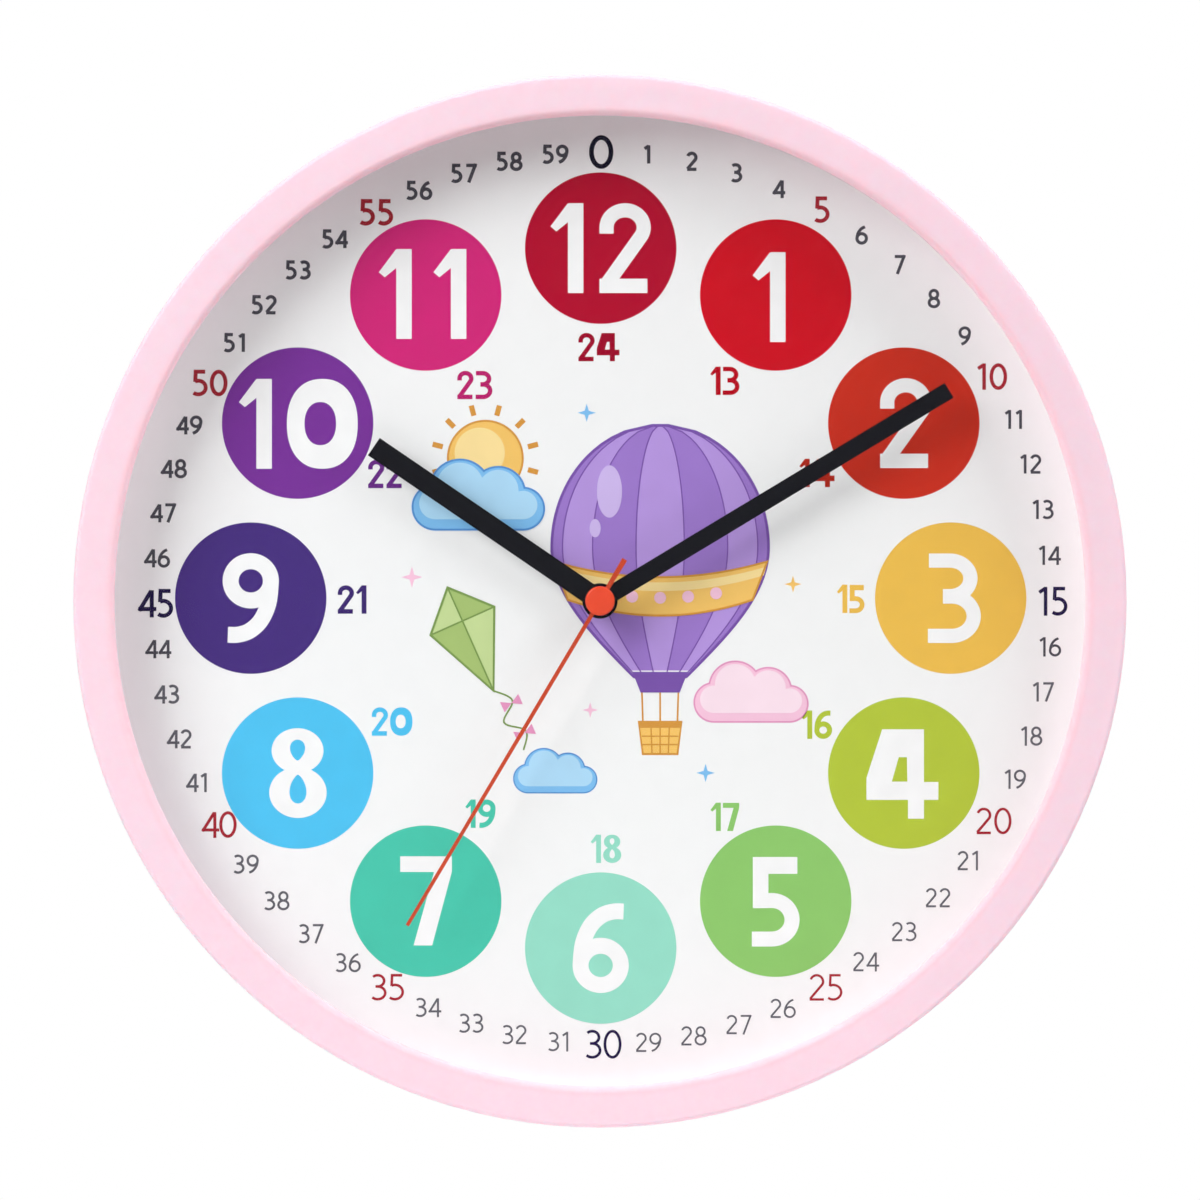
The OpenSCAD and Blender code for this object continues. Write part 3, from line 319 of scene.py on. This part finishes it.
DRESS = {
    PINK: ["bezel"],
    PALE_PINK: ["spacer_ring"],
    LENS: ["lens"],
    WHITE_DIAL: ["dial"],
    PLATE: ["back_plate"],
    BLACK: ["movement_front_shell", "movement_rear_shell"],
    KNOB: ["setting_knob"],
    ZINC: ["case_screws", "hanger_strap", "hanger_screws", "bridge_screws", "clutch_washer",
           "second_arbor"],
    FOAM: ["pad"],
    CREAM: ["train_bridge", "coil_bobbin"],
    NYLON: ["hour_wheel", "centre_wheel", "motion_wheel", "third_wheel", "second_wheel",
            "intermediate_wheel", "rotor_pinion_hub", "setting_shaft"],
    BRASS: ["minute_shaft", "second_tube"],
    MAGNET: ["rotor_magnet"],
    IRON: ["stator", "coil_core"],
    COPPER: ["coil_winding"],
    BOARD: ["circuit_board"],
    RESIN: ["chip_cover"],
    NICKEL: ["quartz_can", "positive_contact", "negative_contact"],
    CELL: ["cell"],
    HAND_BLACK: ["hour_hand", "minute_hand"],
    HAND_ORANGE: ["second_hand"],
    CAP_ORANGE: ["second_cap"],
}
for material, names in DRESS.items():
    for name in names:
        NODES[name].data.materials.clear()
        NODES[name].data.materials.append(material)


# Outlines on the dial in millimetres, x to the right and y up.
# A shape is a list of loops: the first is its edge, the rest are holes.


def oval(cx, cy, rx, ry, a0=0.0, a1=360.0, steps=36, power=2.0):
    """Points along an oval. A power over 2 squares it off."""
    points = []
    for k in range(steps + 1):
        a = math.radians(a0 + (a1 - a0) * k / steps)
        c, s = math.cos(a), math.sin(a)
        points.append((cx + rx * math.copysign(abs(c) ** (2 / power), c),
                       cy + ry * math.copysign(abs(s) ** (2 / power), s)))
    return points[:-1] if abs(a1 - a0) >= 360 else points


def drop(x, tip, base, width, steps=36):
    """A drop, pointed at height tip and round at height base."""
    points = []
    for k in range(steps):
        a = 2 * math.pi * k / steps
        points.append((x + 0.55 * width * math.sin(a) * math.sqrt(math.sin(a / 2)),
                       (tip + base) / 2 + (tip - base) / 2 * math.cos(a)))
    return points


def disc(x, y, r, steps=64):
    return [oval(x, y, r, r, steps=steps)]


def rect(x0, y0, x1, y1):
    return [[(x0, y0), (x1, y0), (x1, y1), (x0, y1)]]


def spline(points, steps=8):
    """A smooth line through points."""
    p = [points[0], *points, points[-1]]
    out = []
    for i in range(1, len(p) - 2):
        for k in range(steps):
            t = k / steps
            at = []
            for before, a, b, after in zip(p[i - 1], p[i], p[i + 1], p[i + 2]):
                at.append(0.5 * (2 * a + (b - before) * t
                                 + (2 * before - 5 * a + 4 * b - after) * t * t
                                 + (3 * a - before - 3 * b + after) * t ** 3))
            out.append(tuple(at))
    return [*out, points[-1]]


def stroke(points, width, closed=False):
    """A line of that width as a run of quads, mitred where it bends."""
    n = len(points)
    sides = []
    for i in range(n):
        before = points[i - 1] if i or closed else points[i]
        after = points[(i + 1) % n] if i < n - 1 or closed else points[i]
        here = points[i]
        u = (Vector(here) - Vector(before)).normalized() if before != here else None
        v = (Vector(after) - Vector(here)).normalized() if after != here else None
        u, v = u or v, v or u
        t = (u + v).normalized()
        normal = Vector((-t.y, t.x))
        k = width / 2 / max(0.5, normal.dot(Vector((-v.y, v.x))))
        dx, dy = normal.x * k, normal.y * k
        sides.append(((here[0] + dx, here[1] + dy), (here[0] - dx, here[1] - dy)))
    quads = []
    for i in range(n if closed else n - 1):
        (a, b), (c, d) = sides[i], sides[(i + 1) % n]
        quads.append([[b, d, c, a]])
    return quads


def corners(points, width):
    """Straight strokes with square corners."""
    shapes = []
    for a, b in zip(points, points[1:]):
        d = (Vector(b) - Vector(a)).normalized() * width / 2
        a2 = a if a == points[0] else (a[0] - d.x, a[1] - d.y)
        b2 = b if b == points[-1] else (b[0] + d.x, b[1] + d.y)
        shapes += stroke([a2, b2], width)
    return shapes


def moved(shapes, dx=0.0, dy=0.0, k=1.0, turn=0.0):
    """Outlines scaled by k, turned and then shifted."""
    c, s = math.cos(math.radians(turn)), math.sin(math.radians(turn))

    def place(loop):
        return [(dx + k * (x * c - y * s), dy + k * (x * s + y * c)) for x, y in loop]

    return [[place(loop) for loop in shape] for shape in shapes]


# Flat shapes: (points, faces) pairs, with nothing overlapping

SLIVER = 1e-9  # twice the area under which a triangle is dropped
SNAP = 1e-4  # points closer than this become one


def merge(shapes):
    """One flat shape from outlines that may overlap."""
    points, faces = [], []
    for loops in shapes:
        flat = [p for loop in loops for p in loop]
        for tri in tessellate_polygon([[Vector((*p, 0)) for p in loop] for loop in loops]):
            a, b, c = (Vector(flat[i]) for i in tri)
            area = (b - a).cross(c - a)
            if abs(area) > SLIVER:
                faces.append([len(points) + i for i in (tri if area > 0 else tri[::-1])])
        points += [Vector(p) for p in flat]
    verts, _, cut, _, _, sources = delaunay_2d_cdt(points, [], faces, 1, SNAP)
    kept = [face for face, source in zip(cut, sources) if source]
    used = sorted({i for face in kept for i in face})
    place = {i: k for k, i in enumerate(used)}
    return [tuple(verts[i]) for i in used], [[place[i] for i in face] for face in kept]


def shifted(flat, dx, dy, k=1.0):
    """A flat shape scaled by k and then shifted."""
    return [(dx + k * x, dy + k * y) for x, y in flat[0]], flat[1]


def print_on_dial(name, groups):
    """A piece of ink films on the dial, from (flat shapes, material, layer) groups."""
    verts, faces, slots, materials = [], [], [], []
    for flats, material, layer in groups:
        if material not in materials:
            materials.append(material)
        slot = materials.index(material)
        for points, tris in flats:
            start, n = len(verts), len(points)
            for y in (DIAL_FRONT - layer * LAYER, DIAL_FRONT):
                verts += [(AXIS.x + PRINT.x + px * MM, y, AXIS.z + PRINT.y + py * MM) for px, py in points]
            edges = {(a, b) for t in tris for a, b in zip(t, [*t[1:], t[0]])}
            new = [[start + i for i in t] for t in tris]
            new += [[start + n + i for i in t[::-1]] for t in tris]
            rim = [(start + a, start + b) for a, b in sorted(edges) if (b, a) not in edges]
            new += [[a, a + n, b + n, b] for a, b in rim]
            faces += new
            slots += [slot] * len(new)
    mesh = bpy.data.meshes.new(name)
    mesh.from_pydata(verts, [], faces)
    mesh.polygons.foreach_set("material_index", slots)
    for material in materials:
        mesh.materials.append(material)
    mesh.update()
    piece = bpy.data.objects.new(name, mesh)
    bpy.context.scene.collection.objects.link(piece)
    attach(piece, "case")


# Bold numbers for the hours

TALL = 90  # height of a bold digit in the units that it is drawn in
BOLD, SLIM = 16.0, 14.2  # line weights
SIX_W = 56.7
SIX = (stroke(oval(28.3, 27.7, 20.2, 19.7), BOLD, True)
       + stroke(spline([(51.3, 81.6), (41, 81.6), (29, 77.5), (18, 67), (10.6, 50), (8.2, 30)]), BOLD))
HOUR_GLYPHS = {
    "0": (71.0, [[oval(35.5, 45, 35.5, 45, steps=64, power=2.25),
                  oval(33.5, 45.2, 15.8, 21.6, steps=48, power=2.2)]]),
    "1": (33.0, [[[(17.5, 90), (33, 90), (33, 0), (17.5, 0), (17.5, 71), (6, 61.7), (0, 66.7)]]]),
    "2": (51.6, stroke([(7.1, 59.5), *oval(25.7, 65.8, 18.6, 17.1, 180, -38), (5.9, 7)], SLIM)
          + [rect(0, 0, 48, 14.4)]),
    "3": (53.0, stroke([(1, 82.6), (20, 82.6), *oval(22, 64.8, 20.6, 17.8, 89, -89), (15, 47)], SLIM)
          + stroke([(15, 46.6), *oval(24, 26.9, 21.9, 19.7, 89, -89), (0, 7.2)], SLIM)),
    "4": (72.0, [[[(0, 18.9), (0, 41), (15.7, 89.6), (57.6, 89.6), (57.6, 36.8), (72, 36.8),
                   (72, 18.9), (57.6, 18.9), (57.6, 0), (41.6, 0), (41.6, 18.9)],
                  [(25.4, 37.2), (41, 37.2), (40.5, 61.6), (32.4, 61.6)]]]),
    "5": (47.8, [rect(1, 72.4, 45.6, 89.3), rect(1, 38, 16.6, 89.3)]
          + stroke([(1, 45.7), *oval(20, 26.4, 20.3, 19.3, 89, -89), (0, 7.1)], BOLD - 1)),
    "6": (SIX_W, SIX),
    "7": (51.8, [rect(0, 73.6, 51.8, 89.3), [[(34, 74), (51.8, 74), (32, 0), (13.4, 0)]]]),
    "8": (57.6, [[oval(28.4, 67.5, 26, 22.5, steps=48), drop(28.4, 57.5, 78.5, 16)],
                 [oval(28.8, 25.5, 28.8, 25.5, steps=48), drop(28.8, 43.5, 14.5, 18)]]),
    "9": (SIX_W, [[[(SIX_W - x, TALL - y) for x, y in loop] for loop in shape] for shape in SIX]),
}
HOUR_FLATS = {digit: (width, merge(shapes)) for digit, (width, shapes) in HOUR_GLYPHS.items()}


def bold_number(text, height, gap, x, y):
    """A bold number as flat shapes, centred on x, y."""
    k = height / TALL
    span = sum(HOUR_FLATS[digit][0] for digit in text) * k + gap * (len(text) - 1)
    start = x - span / 2
    flats = []
    for digit in text:
        width, flat = HOUR_FLATS[digit]
        flats.append(shifted(flat, start, y - height / 2, k))
        start += width * k + gap
    return flats


# Light numbers for the minutes: centre lines 1 unit tall, each a line, a loop or a line with corners

TIGHT = 0.12  # a digit stands closer after a 4, by this share of its height
LIGHT_SIX_W = 0.52
LIGHT_SIX = [
    (oval(0.26, 0.29, 0.26, 0.29), "loop"),
    (spline([(0.44, 1.0), (0.24, 0.88), (0.06, 0.6), (0.0, 0.29)]), "line"),
]
LIGHT_GLYPHS = {
    "0": (0.54, [(oval(0.27, 0.5, 0.27, 0.5), "loop")]),
    "1": (0.32, [([(0.26, -0.07), (0.26, 1.07)], "line"), ([(0.26, 1.02), (0.03, 0.85)], "line")]),
    "2": (0.5, [([*oval(0.24, 0.74, 0.23, 0.26, 160, -28), (0.0, 0.03)], "line"),
                ([(-0.02, 0.0), (0.5, 0.0)], "line")]),
    "3": (0.48, [([*oval(0.2, 0.765, 0.24, 0.235, 135, -90), (0.12, 0.53)], "line"),
                 ([(0.12, 0.53), *oval(0.2, 0.265, 0.28, 0.265, 90, -135)], "line")]),
    "4": (0.58, [([(0.43, -0.07), (0.43, 1.03)], "line"),
                 ([(0.41, 1.01), (0.0, 0.27), (0.6, 0.27)], "corner")]),
    "5": (0.47, [([(0.45, 1.0), (0.08, 1.0), (0.06, 0.55)], "corner"),
                 ([(0.06, 0.57), *oval(0.18, 0.3, 0.29, 0.3, 95, -130)], "line")]),
    "6": (LIGHT_SIX_W, LIGHT_SIX),
    "7": (0.5, [([(0.0, 1.0), (0.5, 1.0), (0.14, -0.07)], "corner")]),
    "8": (0.52, [(oval(0.26, 0.755, 0.21, 0.245), "loop"), (oval(0.26, 0.255, 0.26, 0.255), "loop")]),
    "9": (LIGHT_SIX_W, [([(LIGHT_SIX_W - x, 1 - y) for x, y in line], kind) for line, kind in LIGHT_SIX]),
}


def light_digit(digit, height, weight, wide):
    """A digit's width and flat shape at that height, line weight and breadth."""
    k = height - weight
    width, lines = LIGHT_GLYPHS[digit]
    shapes = []
    for line, kind in lines:
        points = [(weight / 2 + x * wide * k, weight / 2 + y * k) for x, y in line]
        shapes += corners(points, weight) if kind == "corner" else stroke(points, weight, kind == "loop")
    return width * wide * k + weight, merge(shapes)


def light_number(text, height, weight, wide, gap, x, y):
    """A light number as flat shapes, centred on x, y."""
    digits = [light_digit(d, height, weight, wide) for d in text]
    gaps = [gap - TIGHT * height if d == "4" else gap for d in text[:-1]]
    start = x - (sum(width for width, flat in digits) + sum(gaps)) / 2
    flats = []
    for (width, flat), step in zip(digits, [*gaps, 0]):
        flats.append(shifted(flat, start, y - height / 2))
        start += width + step
    return flats


# The printed numbers

HOUR_R, DAY_R, MINUTE_R = 100.1, 72.0, 127.9  # radii of the rings of numbers
DISC_R = 21.65
HOUR_H = 25.7
DAY_H, DAY_GAP = 8.1, 0.6
HOUR_COLOURS = {
    1: (207, 4, 30), 2: (204, 46, 28), 3: (239, 191, 81), 4: (181, 199, 62),
    5: (142, 200, 108), 6: (150, 221, 199), 7: (74, 199, 173), 8: (80, 195, 241),
    9: (70, 46, 125), 10: (120, 50, 152), 11: (210, 36, 120), 12: (178, 0, 43),
}
HOUR_SHIFT = {  # how far an hour number stands off its disc's centre, where it does
    1: (-1.9, -0.6), 2: (0.6, 0), 3: (1.05, 0), 4: (-0.4, -0.2),
    7: (0.1, 0.2), 8: (0.1, 0), 10: (0.2, -0.2), 11: (-0.9, 0.3),
}
HOUR_GAPS = {10: 4.3, 11: 6.2, 12: 4.6}
DAY_SHIFT = {  # how far a 24-hour number stands off its place
    18: (1.5, 0.3), 19: (1.6, 0.7), 20: (2.7, 0.7), 21: (0.9, -0.4), 22: (0.8, -0.5), 23: (0, -1.4),
}
DAY_USUAL = (-0.5, -0.2)  # the shift of the others
DEEP_SUM = 400  # a colour is deep if its red, green and blue sum to less than this
DEEP_INK = 0.88  # and the small numbers have it at this share of its brightness


def on_circle(radius, degrees):
    """A place on a ring, by its angle clockwise from the top."""
    a = math.radians(degrees)
    return radius * math.sin(a), radius * math.cos(a)


def minute_place(minute):
    """Where a minute number stands: the numbers stray a little in and out, and along their ring."""
    a = math.radians(6 * minute)
    out = MINUTE_R + 0.9 * math.sin(a) - 0.45 * math.sin(2 * a) - 0.3 * math.cos(2 * a)
    along = -0.8 + 1.2 * math.sin(a) + 0.45 * math.cos(a) - 0.9 * math.sin(4 * a) + 0.5 * math.cos(4 * a)
    return on_circle(out, 6 * minute + math.degrees(along / out))


def day_colour(rgb):
    """The colour of a 24-hour number, from its hour's."""
    k = DEEP_INK if sum(rgb) < DEEP_SUM else 1
    return [v * k for v in rgb]


disc_inks = {h: ink(f"ink_{h}", rgb) for h, rgb in HOUR_COLOURS.items()}
white_ink = ink("ink_white", (248, 248, 248))
discs, hours, days = [], [], []
for h, material in disc_inks.items():
    x, y = on_circle(HOUR_R, 30 * h)
    discs.append(([merge([disc(x, y, DISC_R, 128)])], material, 1))
    dx, dy = HOUR_SHIFT.get(h, (0, 0))
    hours += bold_number(str(h), HOUR_H, HOUR_GAPS.get(h, 0), x + dx, y + dy)
    x, y = on_circle(DAY_R, 30 * h)
    dx, dy = DAY_SHIFT.get(12 + h, DAY_USUAL)
    day_ink = ink(f"ink_day_{h}", day_colour(HOUR_COLOURS[h]))
    days.append((bold_number(str(12 + h), DAY_H, DAY_GAP, x + dx, y + dy), day_ink, 1))
print_on_dial("print_hour_discs", discs)
print_on_dial("print_hour_numbers", [(hours, white_ink, 2)])
print_on_dial("print_day_numbers", days)

MINUTE_GAP = 0.6
MINUTE_STYLES = {  # colour, height, line weight, breadth
    "plain": ((78, 77, 85), 5.55, 0.7, 1.12),
    # the paler plain ink of the lower half is painted light, for the brighter light on the lower dial
    "plain_painted_light": ((98, 98, 105), 5.5, 0.7, 1.12),
    "five": ((165, 40, 52), 7.6, 0.86, 1.13),
    "quarter": ((35, 25, 68), 8.25, 1.0, 1.08),
    "zero": ((18, 14, 36), 9.65, 0.98, 1.25),
}


def minute_style(m):
    """The style of a minute number. The plain ones are paler in the lower half: painted light, standing in
    for the brighter light there.
    """
    if m % 5:
        return "plain_painted_light" if 16 < m < 44 else "plain"
    return "zero" if m == 0 else "five" if m % 15 else "quarter"


def press(m):
    """How heavy a minute number's lines are: heaviest near the top as painted shade, for the shade that
    falls there, and lightest at the bottom as painted light.
    """
    return 1.09 + 0.31 * math.cos(math.radians(6 * m + 15))


groups = []
for style, (rgb, height, weight, wide) in MINUTE_STYLES.items():
    flats = []
    for m in range(60):
        if minute_style(m) == style:
            # the line weights carry painted shade: heavier near the top, lighter at the bottom
            flats += light_number(str(m), height, weight * press(m), wide, MINUTE_GAP, *minute_place(m))
    groups.append((flats, ink("ink_minute_" + style, rgb), 1))
print_on_dial("print_minute_numbers", groups)

# The printed picture: a balloon, clouds, a sun, a kite and stars

ART_COLOURS = {
    "purple": (158, 122, 204), "purple_light": (182, 150, 222), "purple_dark": (122, 84, 170),
    "lilac": (206, 184, 236),
    "gold": (246, 198, 106), "gold_light": (252, 224, 156), "gold_dark": (216, 152, 66),
    "blue": (128, 192, 240), "blue_light": (176, 220, 248), "blue_dark": (84, 146, 214),
    "rose": (248, 198, 222), "rose_light": (253, 226, 238), "rose_dark": (230, 152, 194),
    "leaf": (168, 194, 116), "leaf_light": (198, 218, 152), "leaf_dark": (126, 156, 84),
}
art_inks = {name: ink("ink_" + name, rgb) for name, rgb in ART_COLOURS.items()}


def picture(name, parts, *place):
    """A printed picture from (colour, layer, outlines) parts, moved to its place."""
    groups = []
    for colour, layer, shapes in parts:
        groups.append(([merge(moved(shapes, *place))], art_inks[colour], layer))
    print_on_dial(name, groups)


# The balloon: half its width, its height over and under its widest place, half its mouth, its top row
BALLOON_W, BALLOON_UP, BALLOON_DOWN = 31, 35, 37
MOUTH_W = 7.5
CROWN = 34.9
BALLOON_ROWS = [CROWN - (CROWN + BALLOON_DOWN) * k / 40 for k in range(41)]


def balloon_half(y):
    """Half the balloon's width at height y over its widest place."""
    if y > 0:
        return BALLOON_W * math.sqrt(max(0.0, 1 - (y / BALLOON_UP) ** 2))
    return MOUTH_W + (BALLOON_W - MOUTH_W) * math.cos(math.pi / 2 * -y / BALLOON_DOWN)


def seam(f):
    """A line down the balloon, at that share of its half width."""
    return [(f * balloon_half(y), y) for y in BALLOON_ROWS]


def gore(f0, f1):
    """The strip of the balloon between two seams, down to the row over its mouth."""
    left, right = seam(f0)[:-1], seam(f1)[:-1]
    return [left + right[::-1]]


def belt(y0, y1, sag):
    """A band round the balloon, sagging in the middle."""
    turns = [-1 + k / 16 for k in range(33)]
    line = [[(f * balloon_half(y), y - sag * (1 - f * f)) for f in turns] for y in (y0, y1)]
    return [line[0] + line[1][::-1]]


EDGES = [math.sin(math.radians(-90 + 180 * k / 7)) for k in range(8)]
GORES = ["purple", "purple_light", "purple", "purple_light", "purple", "purple_light", "purple"]
balloon = [(colour, 1, [gore(f0, f1)]) for colour, f0, f1 in zip(GORES, EDGES, EDGES[1:])]
balloon += [
    ("purple_dark", 2, stroke(seam(-1) + seam(1)[::-1], 0.8, True)
     + [q for f in EDGES[1:-1] for q in stroke(seam(f), 0.35)]),
    ("gold", 3, [belt(-4, -15, 4.5)]),
    ("gold_light", 4, [belt(-5.5, -8, 4.5)]),
    ("gold_dark", 5, stroke(belt(-4, -15, 4.5)[0], 0.6, True)),
    ("rose", 6, [disc(8 * k, -14.4 + 0.005 * (8 * k) ** 2, 1.7, 32) for k in range(-2, 3)]),
    ("lilac", 3, [[oval(-14.5, 16, 3.6, 7.5)], [oval(-18.6, 5.5, 1.6, 2.6)]]),
    ("purple_dark", 3, [[[(-7.9, -35.6), (7.9, -35.6), (5.6, -41.5), (-5.6, -41.5)]]]),
    ("gold_dark", 1, [q for x in (-5.2, 0, 5.2) for q in stroke([(x, -41.5), (x * 0.95, -50)], 0.5)]
     + [[[(-6.4, -49.6), (6.4, -49.6), (5.2, -59.4), (-5.2, -59.4)]]]),
    ("gold", 2, [[[(-5.7, -51.6), (5.7, -51.6), (4.7, -58.8), (-4.7, -58.8)]]]),
    ("gold_dark", 3, [q for y in (-54, -56.4) for q in stroke([(-5.2, y), (5.2, y)], 0.4)]
     + [q for x in (-2.6, 0, 2.6) for q in stroke([(x, -51.6), (x * 0.9, -58.8)], 0.4)]),
]
picture("print_balloon", balloon, 17, 14.5)

PUFFS = [(-13, -1, 6.5), (-5.5, 4.2, 8.8), (6, 3, 7.8), (13.5, -1.5, 6)]
CLOUD_TONES = [("_dark", 0.6, 0.0), ("", 0.0, 0.0), ("_light", -1.7, 1.1)]  # tone, growth and lift


def cloud(x, y, k, tone, layer):
    """A cloud in three tones: its edge, its body and its lit upper part."""
    parts = []
    for step, (ending, grow, lift) in enumerate(CLOUD_TONES):
        shapes = [disc(px, py + lift, r + grow, 48) for px, py, r in PUFFS]
        shapes.append(rect(-13, -7.5 - grow + lift, 13.5, 2 + lift))
        parts.append((tone + ending, layer + step, moved(shapes, x, y, k)))
    return parts


picture("print_clouds", cloud(-35, 27, 0.95, "blue", 4) + cloud(43, -29, 0.82, "rose", 1)
        + cloud(-13, -51, 0.6, "blue", 1))

rays = []
for degrees in range(15, 375, 30):
    rays += stroke([on_circle(12.6, degrees), on_circle(15.6, degrees)], 1.5)
sun = [
    ("gold_dark", 1, [disc(0, 0, 11)] + rays),
    ("gold", 2, [disc(0, 0, 10.4)]),
    ("gold_light", 3, [disc(-1.6, 1.6, 7.2)]),
]
picture("print_sun", sun, -33, 40)

TIP, LEFT, RIGHT, FOOT, MID = (0, 15), (-10.5, 4), (10.5, 4), (0, -19), (0, 4)
tail = spline([(0, -19), (4, -24), (-1, -29), (4, -34), (1, -39)])
KNOTS = [(3.4, -24.6), (3.4, -34.4)]
bows = [[[(x, y), (x - 3, y + 1.7), (x - 3, y - 1.7)]] for x, y in KNOTS]
bows += [[[(x, y), (x + 3, y - 1.7), (x + 3, y + 1.7)]] for x, y in KNOTS]
kite = [
    ("leaf_light", 1, [[[TIP, LEFT, MID]], [[MID, FOOT, RIGHT]]]),
    ("leaf", 1, [[[TIP, MID, RIGHT]], [[LEFT, FOOT, MID]]]),
    ("leaf_dark", 2, stroke([TIP, LEFT, FOOT, RIGHT], 0.7, True) + stroke([TIP, FOOT], 0.5)
     + stroke([LEFT, RIGHT], 0.5) + stroke(tail, 0.5)),
    ("rose_dark", 3, bows),
]
picture("print_kite", kite, -38, -10, 0.95, 24)

STARS = [(-54, 6, 3.0, "rose"), (-4, 53, 2.6, "blue"), (55, 4, 2.4, "gold"), (30, -50, 2.6, "blue"),
         (-3, -32, 2.2, "rose")]
NOTCH = 0.32  # share of a star's radius that is left between its points


def star(x, y, r):
    """A star with four points."""
    points = []
    for k in range(8):
        a = k * math.pi / 4
        reach = r * NOTCH if k % 2 else r
        points.append((x + reach * math.cos(a), y + reach * math.sin(a)))
    return [points]


stars = {}
for x, y, r, colour in STARS:
    stars.setdefault(colour, []).append(star(x, y, r))
picture("print_stars", [(colour, 1, shapes) for colour, shapes in stars.items()])

# Light and camera

WORLD_LIGHT, WORLD_SEEN = 0.19, 1.0  # how bright the background lights, and how bright it looks
LAMPS = {  # place from the middle of the case's front, width and watts
    "key": ((-1.019, -0.860, 0.687), 0.8, 13.4),
    "top": ((-0.680, -0.634, 1.177), 0.8, 5.8),
    "side": ((1.023, -0.464, 0.994), 0.95, 15.3),
    "front": ((-0.067, -1.449, 0.382), 1.4, 1.7),
    "rear_fill": ((0.35, 1.9, 0.35), 1.4, 25.0),
}
SENSOR = 36.0
DISTANCE = 4.0
VIEW = 341.6 * MM  # width that the picture takes in at the case's front
CAMERA_RISE = 0.26 * MM  # the camera stands this far over the hands' axis
FLOOR_R = 0.5
FLOOR_DROP = 0.095  # the floor lies this far under the part
FLOOR_STEPS = 64

scene = bpy.context.scene
scene.view_settings.view_transform = "Standard"


def seen_rays(nodes, link):
    """1 for a ray that shows the background: straight, mirrored or through something clear."""
    path = nodes.new("ShaderNodeLightPath")
    total = path.outputs["Is Camera Ray"]
    for kind in ("Is Glossy Ray", "Is Transmission Ray"):
        either = nodes.new("ShaderNodeMath")
        either.operation = "MAXIMUM"
        link(total, either.inputs[0])
        link(path.outputs[kind], either.inputs[1])
        total = either.outputs[0]
    return total


world = bpy.data.worlds.new("studio")
scene.world = world
world.use_nodes = True
tree = world.node_tree
back = tree.nodes["Background"]
back.inputs["Color"].default_value = (1, 1, 1, 1)
back.inputs["Strength"].default_value = WORLD_LIGHT
seen = tree.nodes.new("ShaderNodeBackground")
seen.inputs["Color"].default_value = (1, 1, 1, 1)
seen.inputs["Strength"].default_value = WORLD_SEEN
choose = tree.nodes.new("ShaderNodeMixShader")
tree.links.new(seen_rays(tree.nodes, tree.links.new), choose.inputs["Fac"])
tree.links.new(back.outputs[0], choose.inputs[1])
tree.links.new(seen.outputs[0], choose.inputs[2])
tree.links.new(choose.outputs[0], tree.nodes["World Output"].inputs["Surface"])

CENTRE = Vector((AXIS.x, FRONT, AXIS.z))
for name, (offset, width, watts) in LAMPS.items():
    data = bpy.data.lights.new(name, "AREA")
    data.shape = "RECTANGLE"
    data.size = width
    data.size_y = width
    data.energy = watts
    lamp = bpy.data.objects.new(name, data)
    place = CENTRE + Vector(offset)
    lamp.location = place
    lamp.rotation_euler = (CENTRE - place).to_track_quat("-Z", "Y").to_euler()
    lamp.visible_camera = False
    scene.collection.objects.link(lamp)

camera_data = bpy.data.cameras.new("camera")
camera = bpy.data.objects.new("camera", camera_data)
scene.collection.objects.link(camera)
scene.camera = camera
camera_data.sensor_width = SENSOR
camera_data.lens = SENSOR * DISTANCE / VIEW
camera.location = CENTRE + Vector((0, -DISTANCE, CAMERA_RISE))
camera.rotation_euler = (math.radians(90), 0, 0)


def floor_paper(name):
    """Pale paper that runs out into the white background."""
    mat = surface(name, linear(244, 244, 244), rough=(0.7, 0.85), vary=0.01, tone=8.0, grain=300.0)
    nodes, link = mat.node_tree.nodes, mat.node_tree.links.new
    away = nodes.new("ShaderNodeVectorMath")
    away.operation = "LENGTH"
    link(nodes["Texture Coordinate"].outputs["Object"], away.inputs[0])
    fade = nodes.new("ShaderNodeMapRange")
    fade.interpolation_type = "SMOOTHSTEP"
    fade.inputs["From Min"].default_value = 0.5 * FLOOR_R
    fade.inputs["From Max"].default_value = 0.95 * FLOOR_R
    link(away.outputs["Value"], fade.inputs["Value"])
    share = nodes.new("ShaderNodeMath")
    share.operation = "MULTIPLY"
    link(fade.outputs["Result"], share.inputs[0])
    link(seen_rays(nodes, link), share.inputs[1])
    white = nodes.new("ShaderNodeEmission")
    mix = nodes.new("ShaderNodeMixShader")
    link(share.outputs[0], mix.inputs["Fac"])
    link(nodes["Principled BSDF"].outputs["BSDF"], mix.inputs[1])
    link(white.outputs["Emission"], mix.inputs[2])
    link(mix.outputs["Shader"], nodes["Material Output"].inputs["Surface"])
    return mat


floor_mesh = bpy.data.meshes.new("floor")
rings = []
for radius in (FLOOR_R / 2, FLOOR_R):
    for k in range(FLOOR_STEPS):
        a = 2 * math.pi * k / FLOOR_STEPS
        rings.append((radius * math.cos(a), radius * math.sin(a), CAD_BOX[0][2] - FLOOR_DROP))
floor_faces = [list(range(FLOOR_STEPS))]
for k in range(FLOOR_STEPS):
    after = (k + 1) % FLOOR_STEPS
    floor_faces.append([k, FLOOR_STEPS + k, FLOOR_STEPS + after, after])
floor_mesh.from_pydata(rings, [], floor_faces)
floor = bpy.data.objects.new("floor", floor_mesh)
scene.collection.objects.link(floor)
floor_mesh.materials.append(floor_paper("floor_paper"))
